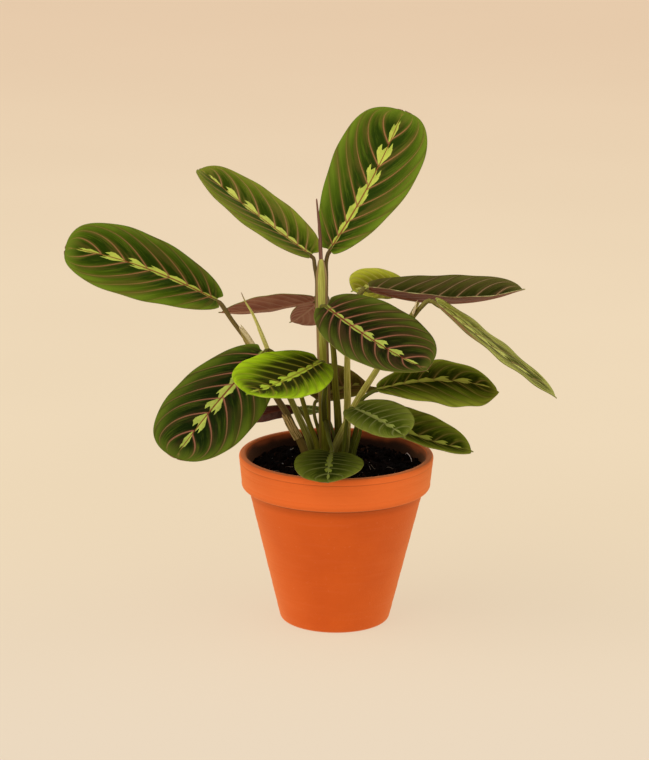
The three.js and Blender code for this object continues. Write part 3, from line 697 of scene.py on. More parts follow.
def blade(leaf, slot, finishes):
    """One leaf: a sheet laid in the blade's form, then given its thickness, ribs and rim."""
    rows = 130 if leaf.length > 60 else 90 if leaf.length > 30 else 60
    columns = 76 if leaf.width > 46 else 60 if leaf.width > 30 else 40
    sheet, row, column = wrapped_sheet("blade_" + leaf.name, rows, columns)
    u = (1 - np.cos(math.pi * row)) / 2
    if not leaf.pointed:
        u = u * (1 - POINT_LENGTH / 2 / leaf.length)
    points, marks = blade_form(leaf, u, 1 - 2 * column)  # the sheet's far edge is the blade's left
    carry(sheet, **marks)
    lay(sheet, points, closed=False)

    off_rib = [mark.value for mark in sheet.data.attributes["out"].data]
    tipward = [mark.value for mark in sheet.data.attributes["along"].data]
    stout = sheet.vertex_groups.new(name="stout")
    for index, (off, far) in enumerate(zip(off_rib, tipward)):
        rib = math.exp(-((off / (1.1 - 0.6 * far)) ** 2)) * (1 - 0.75 * far)
        share = (BLADE_THICKNESS + (RIB_THICKNESS - BLADE_THICKNESS) * rib) / RIB_THICKNESS
        stout.add([index], share, "REPLACE")
    for finish in finishes:
        sheet.data.materials.append(finish.material)
    thickened(sheet, RIB_THICKNESS, -1, vertex_group="stout", material_offset=1,
              material_offset_rim=2)
    sheet.vertex_groups.clear()
    set_in_plant(sheet, slot, "leaf_" + leaf.name)


def off_veins(number, spacing):
    """How far a point is past the last side vein, as a share, and from the nearest, in mm."""
    past = number.math("FRACT")
    return past, past.math("MINIMUM", past.rest()) * spacing


def upper_finish(name, deep, middle, margin, patch, vein, vein_end, brown, rib=None,
                 patch_share=0.92, vein_share=0.9, gloss=0.02, blotch=0.0, flush=0.45, bands=0.0):
    """The patterned upper face: greens with a brown flush, fine stripes, the patches beside the
    midrib, and the veins."""
    f = Finish(name, gloss=gloss)
    u, v, out, number, spacing, step, beside = [
        f.mark(m) for m in ("along", "across", "out", "vein", "spacing", "patch", "beside")]
    a, side = v.math("ABSOLUTE"), v.math("SIGN")
    past, off_vein = off_veins(number, spacing)
    stripes = f.mottle(f.joined(number * 6.0, a * 1.6, side * 3.0 + u), 1.0, 5.0, roughness=0.65)
    near = f.place()
    cloud = f.mottle(near, 60.0, detail=3.0)

    f.paint((a + cloud * 0.3 - 0.15).rising(0.28, 0.72), deep, middle)
    f.over((a + cloud * 0.24 - 0.12).rising(0.62, 1.0), margin)
    f.over(past.rising(0.42, 0.02) * a.rising(0.05, 0.5) * 0.5, middle)
    f.over(stripes.rising(0.48, 0.7) * 0.5 * a.rising(0.12, 0.4), margin)
    flushed = f.mottle(f.joined(number * 1.7, a * 1.5, side * 7.0 + u), 1.0, detail=3.0)
    f.over(flushed.rising(0.5, 0.66) * flush, brown)
    f.over((off_vein - 0.6).rising(1.5, -0.3) * a.rising(1.2, 0.6) * flush, brown)
    if bands:
        long_bands = f.mottle(f.joined(v * 6.0, u * 1.6), 1.0, detail=2.0)
        f.over(long_bands.rising(0.5, 0.6) * bands, margin)
        f.over(long_bands.rising(0.46, 0.36) * bands, deep)
        red_edge = (v - u * 2.4 + stripes * 0.4 - 0.2).rising(-0.02, 0.3)
        f.over(red_edge * 0.8, (136, 84, 60))
    if blotch:
        dark_part = ((past - 0.5).math("ABSOLUTE").rising(0.52, 0.24)
                     * (a - side * 0.12 + stripes * 0.5 - 0.2).rising(0.78, 0.42)
                     * u.rising(0.78, 0.5))
        f.over(dark_part * blotch, deep)
        base_part = (u - side * 0.06 + stripes * 0.3 - 0.15).rising(0.42, 0.04)
        f.over(base_part * 0.6 * blotch, deep)

    gone = step.math("FRACT")
    own = number.math("FLOOR") * 0.37 + side * 0.23
    base_strip = u.rising(0.56, 0.36)
    fork = gone.rising(-0.05, 0.5) * 0.85 + 0.1
    scallop = (gone * math.pi).math("SINE") * 0.36 + u.rising(0.0, 0.3) * 0.2 + 0.22
    reach = fork + (scallop - fork) * base_strip
    spike = ((beside * 1.7 + own * 0.6 + 0.1).math("PINGPONG", 0.5) * 2.0) ** 1.3
    neck = (gone - (spike * 0.22 + 0.62)).rising(-0.015, 0.03) * base_strip.rest()
    narrow = u.rising(0.97, 0.66) * 0.72 + 0.28
    jag = f.mottle(f.joined(step * 7.0, side * 5.0 + u), 1.0, detail=2.0)
    width = (reach * narrow + (jag - 0.5) * 0.5 * reach) * neck.rest() + 0.02
    strip = (beside - width).rising(0.05, -0.05) * u.rising(0.965, 0.9)
    shown = f.mottle(near, 160.0, detail=2.0)
    patch_colour = f.coat(shown.rising(0.3, 0.75) * 0.35, patch, margin)
    f.over(strip * patch_share, patch_colour)
    base_pale = u.rising(0.1, 0.03) * (out - 0.9).rising(1.6, 0.0)
    f.over(base_pale * patch_share * 0.8, patch_colour)

    thick = a.rising(1.0, 0.0) * 0.22 + 0.22
    line = (off_vein - thick).rising(0.26, -0.16) * number.rising(0.45, 0.6) * u.rising(
        0.985, 0.94)
    line = line * (a.rising(1.0, 0.86) * 0.7 + 0.3) * (a * -0.4 + 1.0)
    f.over(line * vein_share, f.coat(a.rising(0.3, 0.95), vein, vein_end))
    f.over(u.rising(0.86, 0.99) * 0.75, margin)
    rib_width = u.rising(1.0, 0.0) * 0.5 + 0.3
    f.over((out - rib_width).rising(0.2, -0.15) * u.rising(0.97, 0.85) * vein_share, rib or vein)
    f.set("Roughness", cloud * 0.16 + stripes * 0.08 + 0.36)
    f.relief(stripes, 0.22)
    f.relief(line.rest(), 0.16)
    f.relief(f.mottle(near, 1300.0, detail=2.0), 0.05)
    return f


def under_finish(name, flesh, dusty, vein):
    """The underside: wine red or bronze, paler by the veins, with a dull bloom."""
    f = Finish(name, gloss=0.12)
    v, out, number, spacing = [f.mark(m) for m in ("across", "out", "vein", "spacing")]
    _, off_vein = off_veins(number, spacing)
    cloud = f.mottle(f.place(), 70.0)
    stripes = f.mottle(f.joined(number * 6.0, v * 1.6), 1.0, 5.0, roughness=0.6)
    f.paint(cloud.rising(0.3, 0.7), flesh, dusty)
    f.over(stripes.rising(0.55, 0.8) * 0.4, vein)
    f.over((off_vein - 0.3).rising(0.4, -0.2) * 0.6, vein)
    f.over((out - 0.8).rising(0.5, -0.3), vein)
    f.set("Roughness", cloud * 0.2 + 0.5)
    f.relief(stripes, 0.25)
    return f


def rim_finish(name, pale, dark):
    """The thin cut of the margin all round the blade."""
    f = Finish(name, roughness=0.5, gloss=0.15)
    f.paint(f.mottle(f.place(), 150.0).rising(0.35, 0.65), pale, dark)
    return f


UNDERSIDES = {name: under_finish("leaf_underside_" + name, *colours) for name, colours in {
    "wine": ((140, 82, 62), (160, 108, 84), (176, 130, 104)),
    "maroon": ((118, 62, 46), (138, 84, 64), (152, 108, 82)),
    # A lighter copy of the wine underside: painted light, for a leaf whose underside catches more
    # light.
    "wine_painted_light": ((154, 98, 78), (174, 124, 100), (186, 142, 116)),
    # A darker copy of the wine underside: painted shade, for leaves low in the plant.
    "dark": ((84, 34, 26), (98, 46, 36), (112, 64, 48)),
    "bronze": ((84, 44, 32), (100, 68, 44), (128, 104, 70)),
    "green": ((120, 136, 34), (142, 152, 50), (168, 176, 86)),
    "soft": ((86, 90, 44), (104, 106, 62), (138, 138, 92)),
}.items()}
RIMS = {name: rim_finish("leaf_rim_" + name, *colours) for name, colours in {
    "green": ((136, 134, 58), (106, 106, 38)),
    "pale": ((186, 180, 120), (128, 104, 66)),
    "lime": ((170, 186, 60), (140, 158, 40)),
}.items()}
LEAF_FINISHES = {}


def leaf_finish(name, slot, under, rim, colours, **shares):
    """One kind of leaf: its slot, upper face, underside and rim. The colours are the deep green by
    the midrib, the middle green, the margin, the patches, the veins, their ends, the brown flush
    and, where it isn't as the veins are, the midrib."""
    upper = upper_finish("leaf_" + name, *colours, **shares)
    LEAF_FINISHES[name] = slot, upper, UNDERSIDES[under], RIMS[rim]


leaf_finish("mature", "mature_leaf", "wine", "green", [
    (36, 54, 2), (66, 86, 8), (106, 126, 30), (200, 210, 88), (158, 108, 68), (136, 112, 54),
    (100, 84, 34), (134, 76, 42)])
leaf_finish("sunlit", "mature_leaf", "wine", "green", [
    (48, 66, 2), (88, 104, 14), (132, 140, 40), (216, 222, 104), (170, 122, 80), (154, 132, 66),
    (124, 110, 46), (146, 92, 50)])
leaf_finish("dark", "mature_leaf", "wine", "green", [
    (18, 30, 2), (46, 62, 8), (90, 104, 26), (190, 202, 90), (154, 98, 74), (126, 98, 58),
    (68, 48, 26), (118, 56, 36)], flush=0.38)
leaf_finish("centre", "mature_leaf", "wine", "green", [
    (26, 30, 4), (56, 62, 12), (88, 98, 30), (190, 202, 90), (154, 98, 74), (126, 98, 58),
    (70, 48, 28), (118, 56, 36)], flush=0.55)
# A darker, duller copy of the mature leaves' finish: painted shade, for a leaf low at the back.
leaf_finish("low_back", "mature_leaf", "dark", "green", [
    (40, 40, 10), (60, 60, 18), (84, 84, 30), (140, 140, 66), (120, 84, 52), (104, 88, 48),
    (66, 46, 26)], vein_share=0.6)
leaf_finish("dusky", "mature_leaf", "maroon", "pale", [
    (46, 50, 14), (76, 76, 28), (102, 98, 46), (176, 176, 92), (156, 122, 86), (150, 126, 88),
    (88, 68, 42)], gloss=0.0)
leaf_finish("bronze", "mature_leaf", "bronze", "green", [
    (42, 54, 4), (88, 106, 20), (146, 156, 48), (184, 194, 78), (144, 128, 64), (144, 142, 66),
    (104, 92, 36)], vein_share=0.55, gloss=0.0, flush=0.3)
leaf_finish("shaded", "mature_leaf", "dark", "green", [
    (50, 40, 8), (74, 66, 18), (96, 88, 30), (100, 96, 36), (100, 76, 42), (104, 82, 46),
    (82, 54, 28)], vein_share=0.35, gloss=0.0)
leaf_finish("olive", "mature_leaf", "wine", "green", [
    (74, 76, 10), (126, 128, 40), (176, 178, 86), (196, 198, 104), (140, 116, 66), (150, 144, 84),
    (130, 110, 60)], flush=0.2, bands=0.7)
leaf_finish("lime", "young_leaf", "green", "lime", [
    (40, 42, 2), (124, 152, 10), (168, 200, 26), (182, 200, 66), (140, 122, 46), (138, 138, 44),
    (112, 116, 22), (120, 100, 28)], blotch=1.0, vein_share=0.6, flush=0.2)
leaf_finish("lime_back", "young_leaf", "green", "lime", [
    (118, 118, 18), (182, 186, 46), (204, 206, 68), (212, 216, 110), (156, 142, 72), (172, 176, 90),
    (150, 130, 46)], blotch=0.6, vein_share=0.6, flush=0.25)
leaf_finish("small", "small_leaf", "soft", "green", [
    (62, 74, 14), (94, 106, 32), (126, 134, 52), (172, 182, 92), (138, 142, 82), (128, 134, 72),
    (98, 98, 42)], patch_share=0.65, vein_share=0.5, gloss=0.0, flush=0.2)
# A darker copy of the small leaves' finish: painted shade, for a small leaf that sits under the
# others.
leaf_finish("small_painted_shade", "small_leaf", "soft", "green", [
    (40, 48, 8), (74, 83, 22), (108, 116, 38), (156, 166, 68), (126, 130, 72), (114, 120, 60),
    (74, 74, 28)], patch_share=0.65, vein_share=0.55, gloss=0.0, flush=0.2)

for leaf in LEAVES:
    slot, upper, under, rim = LEAF_FINISHES[leaf.finish]
    blade(leaf, slot, [upper, UNDERSIDES[leaf.under] if leaf.under else under, rim])


# ---- Shoots and petioles ----
# The stems that rise out of the soil and carry the blades: round, a little ribbed lengthways,
# green to olive brown. The main shoot is wrapped by the brown sheaths of the petioles it bears.

STEM_FOOT = 82.0
SEAT_LENGTH = 2.5  # mm before the blade's base, from where its stem runs in line with it
SEAT_REACH = 0.045  # how far it then runs on under the blade, as a share of the midrib
RIBS = 5
RIB_DEPTH = 0.05  # of the radius
SWELL = 0.12  # how much a stem thickens under its blade, as a share of its radius
FIBRE_LENGTH = 60.0  # mm along a stem for each step of its fibres' pattern
FURROWS = (0.31, 0.69, 1.31, 1.69)  # where the main shoot's lie round it, in half turns
TUBE_END = 0.06  # the share of a tube's rows that round off each end


@dataclass
class Stem:
    """A stem, by the name of the leaf at its tip, if any, and with the places it passes through."""

    node: str
    leaf: str
    finish: str
    radius: tuple  # at its foot and at its tip
    path: list
    branches: list = ()


def rising_at(x, y):
    """The way straight up out of the soil."""
    return [(x, y, STEM_FOOT), (x, y, SOIL_EDGE)]


SHOOTS = [
    Stem("shoot_main", "", "main", (3.7, 3.4), rising_at(-7, 0) + [(-7.6, 0, 123), (-8.2, 0, 151),
         (-9.4, 0, 180), (-10.5, 1, 212), (-11, 2, 238), (-11.3, 3, 247)], [
        Stem("", "upper_left", "branch", (2.2, 1.5), [(-11.6, 2, 198), (-13.2, 3, 218),
             (-13.8, 5, 232), (-15.4, 8, 240)]),
        Stem("", "top", "branch", (2.3, 1.6), [(-9.2, 0, 198), (-8.4, 2, 218), (-8, 4, 235),
             (-8, 6, 243)]),
        Stem("", "young_bright", "green", (1.8, 1.1), [(-8, -1, 136), (-8.6, -8, 153),
             (-7, -18, 170), (-7, -25, 179)]),
        Stem("", "small_front", "green", (1.8, 1.3), [(-7.4, -1, 138), (-6, -9, 133.5),
             (-5, -18, 129.5), (-3.6, -29, 127.5)]),
        Stem("", "back_left", "branch", (1.7, 1.3), [(-9.8, 1, 186), (-9.5, 8, 200),
             (-9.5, 17, 211)]),
        Stem("", "back_drooping", "branch", (1.7, 1.3), [(-9.8, 1, 178), (-8, 13, 195),
             (-6, 32, 206), (-7, 50, 210)])]),
    Stem("shoot_centre", "centre_dark", "dark", (3.0, 2.0), rising_at(1.6, 4) + [(1.6, 3, 123),
         (0.5, 1, 144), (-1, -2, 162), (-2.6, -7, 187), (-6, -13, 206), (-10, -15, 217)]),
    Stem("shoot_right_flat", "right_flat", "light", (2.9, 2.0), rising_at(5, 10) + [(6.5, 9, 121),
         (7.1, 7, 146), (6.7, 6, 181), (8.2, 5, 203), (12, 4.5, 218)]),
    Stem("shoot_right", "right_drooping", "light", (2.9, 1.7), rising_at(-3.6, -9) + [
         (-1.2, -9, 120), (5.6, -8, 135), (13.3, -7, 152), (26.3, -7, 174), (38.5, -10, 196),
         (47, -20, 210), (54, -30, 222), (58.5, -32, 226.5)], [
        Stem("", "young_back", "light", (1.6, 1.2), [(34, -8, 188), (43, 2, 200), (50, 16, 208),
             (54, 30, 214)])]),
    Stem("shoot_far_left", "far_left", "brown", (2.9, 1.7), rising_at(-18.5, -7) + [(-22, -7, 120),
         (-28.3, -5, 132), (-33.7, -3, 143), (-41, 0, 154), (-50, 5, 173), (-58.7, 9, 187),
         (-70.5, 13, 202.3)]),
    Stem("shoot_left", "", "pale", (2.6, 2.2), rising_at(-15, 4) + [(-18.3, 4, 122),
         (-25, 4, 137.5), (-32, 4, 153), (-40.6, 2, 171), (-46, 1, 185)]),
    Stem("petiole_lower_left", "lower_left", "dark", (2.2, 1.4), rising_at(-10.5, -9.5) + [
         (-13, -9.5, 123), (-18.7, -9, 139), (-23, -8, 154), (-29, -8.5, 170), (-36, -12, 180.5),
         (-42, -16, 187)]),
    Stem("petiole_small_right", "small_right", "green", (1.8, 1.3), rising_at(3, -15) + [
         (5, -17, 120), (6, -22, 136), (7, -29, 148)]),
    Stem("petiole_mid_right", "mid_right", "green", (2.0, 1.4), rising_at(8.5, -1) + [
         (10.4, -3, 119), (13.5, -9, 136.5), (15, -17, 149), (17, -22, 158)]),
    Stem("petiole_low_right", "low_right", "green", (1.8, 1.3), rising_at(10.5, -9.5) + [
         (12, -12, 119), (15, -18, 132), (17, -25, 144)]),
    Stem("petiole_low_back_left", "low_back_left", "dark", (1.8, 1.2), rising_at(-15, 13) + [
         (-16.3, 13, 119.5), (-20, 13.5, 133)]),
    Stem("petiole_low_back_right", "low_back_right", "dark", (1.9, 1.3), rising_at(-7.5, 13) + [
         (-11, 13, 123), (-15, 16, 137)]),
    Stem("petiole_small_back", "small_back", "green", (1.5, 1.0), rising_at(-0.5, 17) + [
         (-1.5, 19, 120), (-5, 23, 131)]),
]
LEAF_OF = {leaf.name: leaf for leaf in LEAVES}


def smooth_run(points, fineness=40):
    """Closely set places on the smooth line through the points."""
    points = [np.array(p, float) for p in points]
    points = [2 * points[0] - points[1]] + points + [2 * points[-1] - points[-2]]
    run = []
    for p0, p1, p2, p3 in zip(points, points[1:], points[2:], points[3:]):
        d0, d1, d2 = (max(np.linalg.norm(b - a) ** 0.5, 1e-4)
                      for a, b in ((p0, p1), (p1, p2), (p2, p3)))
        leaving = ((p1 - p0) / d0 - (p2 - p0) / (d0 + d1) + (p2 - p1) / d1) * d1
        arriving = ((p2 - p1) / d1 - (p3 - p1) / (d1 + d2) + (p3 - p2) / d2) * d1
        for k in range(fineness):
            t = k / fineness
            run.append(p1 + leaving * t
                       + (-3 * p1 + 3 * p2 - 2 * leaving - arriving) * t ** 2
                       + (2 * p1 - 2 * p2 + leaving + arriving) * t ** 3)
    run.append(points[-2])
    return np.array(run)


def up_to_seat(stem, sunk):
    """A stem's places, up to where it meets the underside of its blade, sunk mm below the face."""
    place, along, _, up = midrib(LEAF_OF[stem.leaf], np.array([0.0]))
    under = place[0] - up[0] * sunk
    return stem.path + [under - along[0] * SEAT_LENGTH, under - along[0] * 0.8]


def stem_run(stem):
    """The middle line of a stem; one with a leaf runs on under the base of its blade."""
    if not stem.leaf:
        return smooth_run(stem.path)
    place, _, _, up = midrib(LEAF_OF[stem.leaf], np.array([SEAT_REACH]))
    return smooth_run(up_to_seat(stem, 0.9) + [place[0] - up[0] * 1.1])


def laid_round(sheet, run, share, angle, r, toward=(1.0, 0.0, 0.0)):
    """Places round a run: at shares of its length, r out from it, at angles from the way toward.
    Gives the ways along too, and the sheet carries how its fibres run."""
    gone = np.concatenate([[0.0], np.cumsum(np.linalg.norm(np.diff(run, axis=0), axis=1))])
    place, ahead, behind = (
        np.stack([np.interp(share * gone[-1] + nudge, gone, run[:, k]) for k in range(3)], -1)
        for nudge in (0.0, 0.4, -0.4))
    way = ahead - behind
    way /= np.linalg.norm(way, axis=-1, keepdims=True)
    side = np.array(toward) - way * (way @ np.array(toward))[:, None]
    side /= np.linalg.norm(side, axis=1, keepdims=True)
    third = np.cross(way, side)
    carry(sheet, fibre=np.stack([np.cos(angle), np.sin(angle),
                                 share * gone[-1] / FIBRE_LENGTH], -1))
    return (place + side * (r * np.cos(angle))[:, None]
            + third * (r * np.sin(angle))[:, None]), way


def tube(name, run, radius_at, finish, ways_round=20, step=2.0):
    """A closed tube along a run. radius_at(share, angle) gives its radius, with angle 0 to the
    right and a quarter turn further on towards the back."""
    length = np.linalg.norm(np.diff(run, axis=0), axis=1).sum()
    sheet, row, turn = wrapped_sheet(name, max(8, int(length / step)) + 6, ways_round)
    end = 0.012 + 1.2 / length
    share = np.where(row < TUBE_END, row / TUBE_END * end,
                     np.where(row > 1 - TUBE_END, 1 - (1 - row) / TUBE_END * end,
                              end + (row - TUBE_END) / (1 - 2 * TUBE_END) * (1 - 2 * end)))
    angle = math.tau * turn
    ending = np.clip(np.minimum(share, 1 - share) / end, 0, 1)
    dome = np.sqrt(np.clip(1 - (1 - ending) ** 2, 0, 1))
    points, _ = laid_round(sheet, run, share, angle, radius_at(share, angle) * dome)
    carry(sheet, along=share)
    lay(sheet, points)
    sheet.data.materials.append(finish.material)
    return sheet


def round_stem(stem):
    """The radius of a stem: tapering, lightly ribbed, and swollen just under its blade."""
    foot, tip = stem.radius

    def radius_at(share, angle):
        r = (foot + (tip - foot) * share) * (1 - 0.22 * np.clip((share - 0.3) / 0.5, 0, 1))
        r = r * (1 + RIB_DEPTH * np.cos(RIBS * angle + stem.path[0][0] + 1.2 * share))
        if stem.leaf:
            r = r * (1 + SWELL * np.exp(-(((share - 0.93) / 0.05) ** 2)))
            r = r * np.where(share > 0.97, 1 - 0.5 * (share - 0.97) / 0.03, 1.0)
        return r
    return radius_at


def main_stem(stem):
    """The main shoot's radius: wider than deep, with a furrow beside each sheath edge."""
    foot, tip = stem.radius

    def radius_at(share, angle):
        r = (foot + (tip - foot) * share) * (1 - 0.6 * np.clip((share - 0.91) / 0.09, 0, 1) ** 1.6)
        shape = 1 + 0.13 * np.cos(2 * angle)
        for at in FURROWS:
            away = np.abs((angle / math.pi - at + 1) % 2 - 1)
            shape = shape - 0.09 * np.exp(-((away / 0.05) ** 2))
        return r * shape
    return radius_at


def stem_finish(name, lit, shade, foot, upper, streak, streak_share=0.35, foot_end=0.4):
    """Stem skin: its lit and shaded greens, a foot up to foot_end and an upper end of their own
    colours, and long fine streaks."""
    f = Finish("stem_" + name, gloss=0.06)
    fibre = f.mark_place("fibre")
    gone = f.mark("along")
    lines = f.mottle(fibre, 3.2, detail=5.0, roughness=0.6)
    fine = f.mottle(fibre, 9.0, detail=3.0)
    cloud = f.mottle(f.place(), 120.0, detail=3.0)
    f.paint(lines.rising(0.38, 0.62), shade, lit)
    f.over(gone.rising(0.55, 0.9) * (lines * 0.6 + 0.5), upper)
    f.over(gone.rising(foot_end, foot_end - 0.14) * 0.8, foot)
    f.over(fine.rising(0.55, 0.75) * streak_share, streak)
    f.over(cloud.rising(0.6, 0.8) * 0.2, shade)
    f.set("Roughness", cloud * 0.2 + 0.34)
    f.relief(lines, 0.3)
    f.relief(fine, 0.12)
    return f


def main_shoot_finish():
    """The main shoot: a light green middle between two brown sheath edges, on both faces."""
    f = Finish("stem_main_shoot", gloss=0.06)
    fibre = f.mark_place("fibre")
    sideways = f.parts(fibre)[0]
    gone = f.mark("along")
    lines = f.mottle(fibre, 3.0, detail=5.0, roughness=0.6)
    fine = f.mottle(fibre, 9.0, detail=3.0)
    streaked = lines.rising(0.36, 0.64)
    green = f.coat(streaked, (158, 154, 64), (194, 192, 96))
    lower = f.coat(streaked, (122, 120, 30), (154, 152, 58))
    foot = f.coat(streaked, (108, 106, 20), (146, 150, 44))
    green = f.coat(gone.rising(0.74, 0.6), green, lower)
    green = f.coat(gone.rising(0.48, 0.38), green, foot)
    brown = f.coat(lines.rising(0.4, 0.7), (134, 104, 68), (172, 140, 100))
    brown = f.coat(gone.rising(0.5, 0.4), brown, (124, 106, 46))
    edge = (sideways + lines * 0.2 - 0.1).math("ABSOLUTE").rising(0.62, 0.76)
    f.paint(edge * 0.9, green, brown)
    f.over(fine.rising(0.58, 0.76) * 0.35, (88, 82, 28))
    f.set("Roughness", fine * 0.2 + 0.34)
    f.relief(lines, 0.35)
    f.relief(fine, 0.15)
    return f


STEM_FINISHES = {
    "main": main_shoot_finish(),
    "branch": stem_finish("branch", (120, 104, 54), (88, 70, 38), (124, 124, 48),
                          (104, 82, 46), (72, 54, 28)),
    "dark": stem_finish("dark", (122, 120, 34), (90, 88, 16), (70, 66, 22),
                        (100, 92, 38), (66, 56, 16), foot_end=0.26),
    "light": stem_finish("light", (220, 210, 114), (172, 168, 66), (84, 84, 30),
                         (92, 78, 36), (160, 146, 70), foot_end=0.36),
    "pale": stem_finish("pale", (176, 172, 84), (128, 128, 44), (80, 76, 24),
                        (120, 122, 46), (96, 84, 34), foot_end=0.42),
    "brown": stem_finish("brown", (118, 102, 54), (88, 72, 34), (118, 98, 44),
                         (112, 94, 50), (170, 138, 78), streak_share=0.5),
    "green": stem_finish("green", (104, 110, 36), (76, 82, 22), (76, 74, 24),
                         (104, 108, 38), (62, 56, 20)),
}

for stem in SHOOTS:
    shape, ways_round = (main_stem, 32) if stem.finish == "main" else (round_stem, 24)
    grown = [tube(stem.node + "_trunk", stem_run(stem), shape(stem),
                  STEM_FINISHES[stem.finish], ways_round)]
    grown += [tube(branch.leaf + "_petiole", stem_run(branch), round_stem(branch),
                   STEM_FINISHES[branch.finish]) for branch in stem.branches]
    name = stem.node.replace("shoot", "stem").replace("petiole", "stalk")
    set_in_plant(joined_as(name, grown), "stem", stem.node)


# ---- Rolled leaves ----
# Two leaves that haven't opened: slender spears standing on a shoot's tip, each blade rolled
# tightly round itself so that its free edge winds up the outside.

ROLLED_LEAVES = [  # node, slot, radius at the foot and the tip, places, colours
    ("rolled_leaf_top", "rolled_leaf", 1.5, 0.5,
     [(-11.1, 3.2, 241.0), (-11.4, 3.2, 247.6), (-12.2, 2.6, 262), (-13.4, 1.6, 275),
      (-14.6, 0.6, 287)],
     [(140, 98, 80), (104, 64, 54), (166, 126, 100), (128, 88, 70)]),
    ("rolled_leaf_left", "young_stem", 1.7, 0.25,
     [(-45.0, 1.0, 182.5), (-46.2, 1, 185.5), (-51.9, 1, 199.6), (-56.5, 0, 210),
      (-61, -1, 218), (-63.7, -2, 224.5)],
     [(212, 204, 116), (172, 168, 74), (228, 220, 156), (150, 122, 92)]),
]


def rolled_finish(name, lit, shade, edge, tip):
    """Smooth young skin with fine lines lengthways, paler streaks and a tip of its own colour."""
    f = Finish(name, roughness=0.45, gloss=0.18)
    fibre = f.mark_place("fibre")
    lines = f.mottle(fibre, 3.0)
    f.paint(lines.rising(0.36, 0.64), shade, lit)
    f.over(f.mottle(fibre, 8.0).rising(0.55, 0.75) * 0.4, edge)
    f.over(f.mark("along").rising(0.76, 0.98), tip)
    f.relief(lines, 0.2)
    return f


def spear(foot_r, tip_r):
    """The radius of a rolled leaf, with a step where its free edge winds round it."""
    def radius_at(share, angle):
        wound = (angle / math.tau - 1.4 * share) % 1.0
        return (foot_r + (tip_r - foot_r) * share ** 1.3) * (1.06 - 0.22 * wound)
    return radius_at


for node, slot, foot_r, tip_r, places, colours in ROLLED_LEAVES:
    rolled = tube(node.replace("leaf", "blade"), smooth_run(places), spear(foot_r, tip_r),
                  rolled_finish(node + "_skin", *colours), 24, step=1.2)
    set_in_plant(rolled, slot, node)


# ---- Dry sheath scraps ----
# What is left of old leaf sheaths: thin papery half tubes, straw coloured, torn at the free end,
# still held on the stem they once wrapped.

PAPER_THICKNESS = 0.22
SHEATHS = [  # node, stem, start and stop along it, facing, arc, flare of the free end, keel, paper
    ("dry_sheath_far_left", "shoot_far_left", 0.71, 0.85, 335, 270, 0.3, 0.9, "wrapped"),
    ("dry_sheath_low_left", "shoot_far_left", 0.3, 0.42, 250, 170, 1.1, 0.0, "green"),
    ("dry_sheath_right", "shoot_right", 0.885, 0.935, 170, 110, 2.2, 0.0, "pale"),
]
STEM_OF = {stem.node: stem for stem in SHOOTS}


def paper_finish(name, thin, thick, spot, keel=None):
    """Dry sheath: thick straw fibres with thinner skin between them, and weathered spots."""
    f = Finish("dry_sheath_" + name, roughness=0.75, gloss=0.1)
    fibre = f.mark_place("fibre")
    veining = f.mottle(fibre, 6.0)
    f.paint(veining.rising(0.42, 0.58), thin, thick)
    if keel:
        f.over(f.parts(fibre)[0].rising(0.5, 0.85), keel)
    f.over(f.mottle(f.place(), 300.0).rising(0.6, 0.8) * 0.5, spot)
    f.relief(veining, 0.3)
    return f


PAPERS = {
    "pale": paper_finish("pale", (196, 170, 126), (236, 214, 172), (150, 120, 80)),
    "wrapped": paper_finish("wrapped", (136, 118, 58), (164, 146, 80), (116, 94, 48),
                            keel=(214, 196, 148)),
    "green": paper_finish("green", (104, 92, 42), (204, 174, 112), (118, 88, 52)),
}

for node, stem_node, start, stop, facing, arc, flare, keel, paper in SHEATHS:
    stem = STEM_OF[stem_node]
    foot_r, tip_r = stem.radius
    sheet, row, column = wrapped_sheet(node.replace("dry_", "papery_"), 40, 24)
    share = start + (stop - start) * row
    torn = 0.16 * np.sin(11 * column + arc) * row ** 3
    open_half = math.radians(arc) / 2 * (1 - 0.75 * row ** 2) * (1 + torn)
    angle = open_half * (2 * column - 1)
    crease = 0.12 * np.sin(9 * angle + 7 * row) * row
    r = foot_r + (tip_r - foot_r) * share + GAP + 0.5 + flare * row ** 2 + crease
    r = r + keel * np.exp(-((angle / 0.5) ** 2)) * np.sin(math.pi * row) ** 0.5
    toward = (math.cos(math.radians(facing)), math.sin(math.radians(facing)), 0.0)
    points, way = laid_round(sheet, smooth_run(up_to_seat(stem, 0.45)), share, angle, r, toward)
    lay(sheet, points + way * (1.2 * row ** 4 * np.sin(13 * column))[:, None], closed=False)
    sheet.data.materials.append(PAPERS[paper].material)
    thickened(sheet, PAPER_THICKNESS, 0)
    set_in_plant(sheet, "dry_sheath", node)


# ---- Root hairs ----
# Fine pale roots and bits of fibre that lie curled on the soil, round, a third of a millimetre
# thick. One stands out: a whitish one that arches up beside the right-hand wall.

ARCHED_ROOT = [(46.8, 25.5, 106.4), (47.5, 21.5, 109.0), (49, 15.5, 109.4), (50.3, 9.5, 108.6),
               (51, 4, 106.4)]
ARCHED_THICKNESS = 0.42
ROOT_THICKNESS = 0.34
ROOTS = 24
ROOT_STEP = 2.2
ROOTS_CLEAR = 13.0

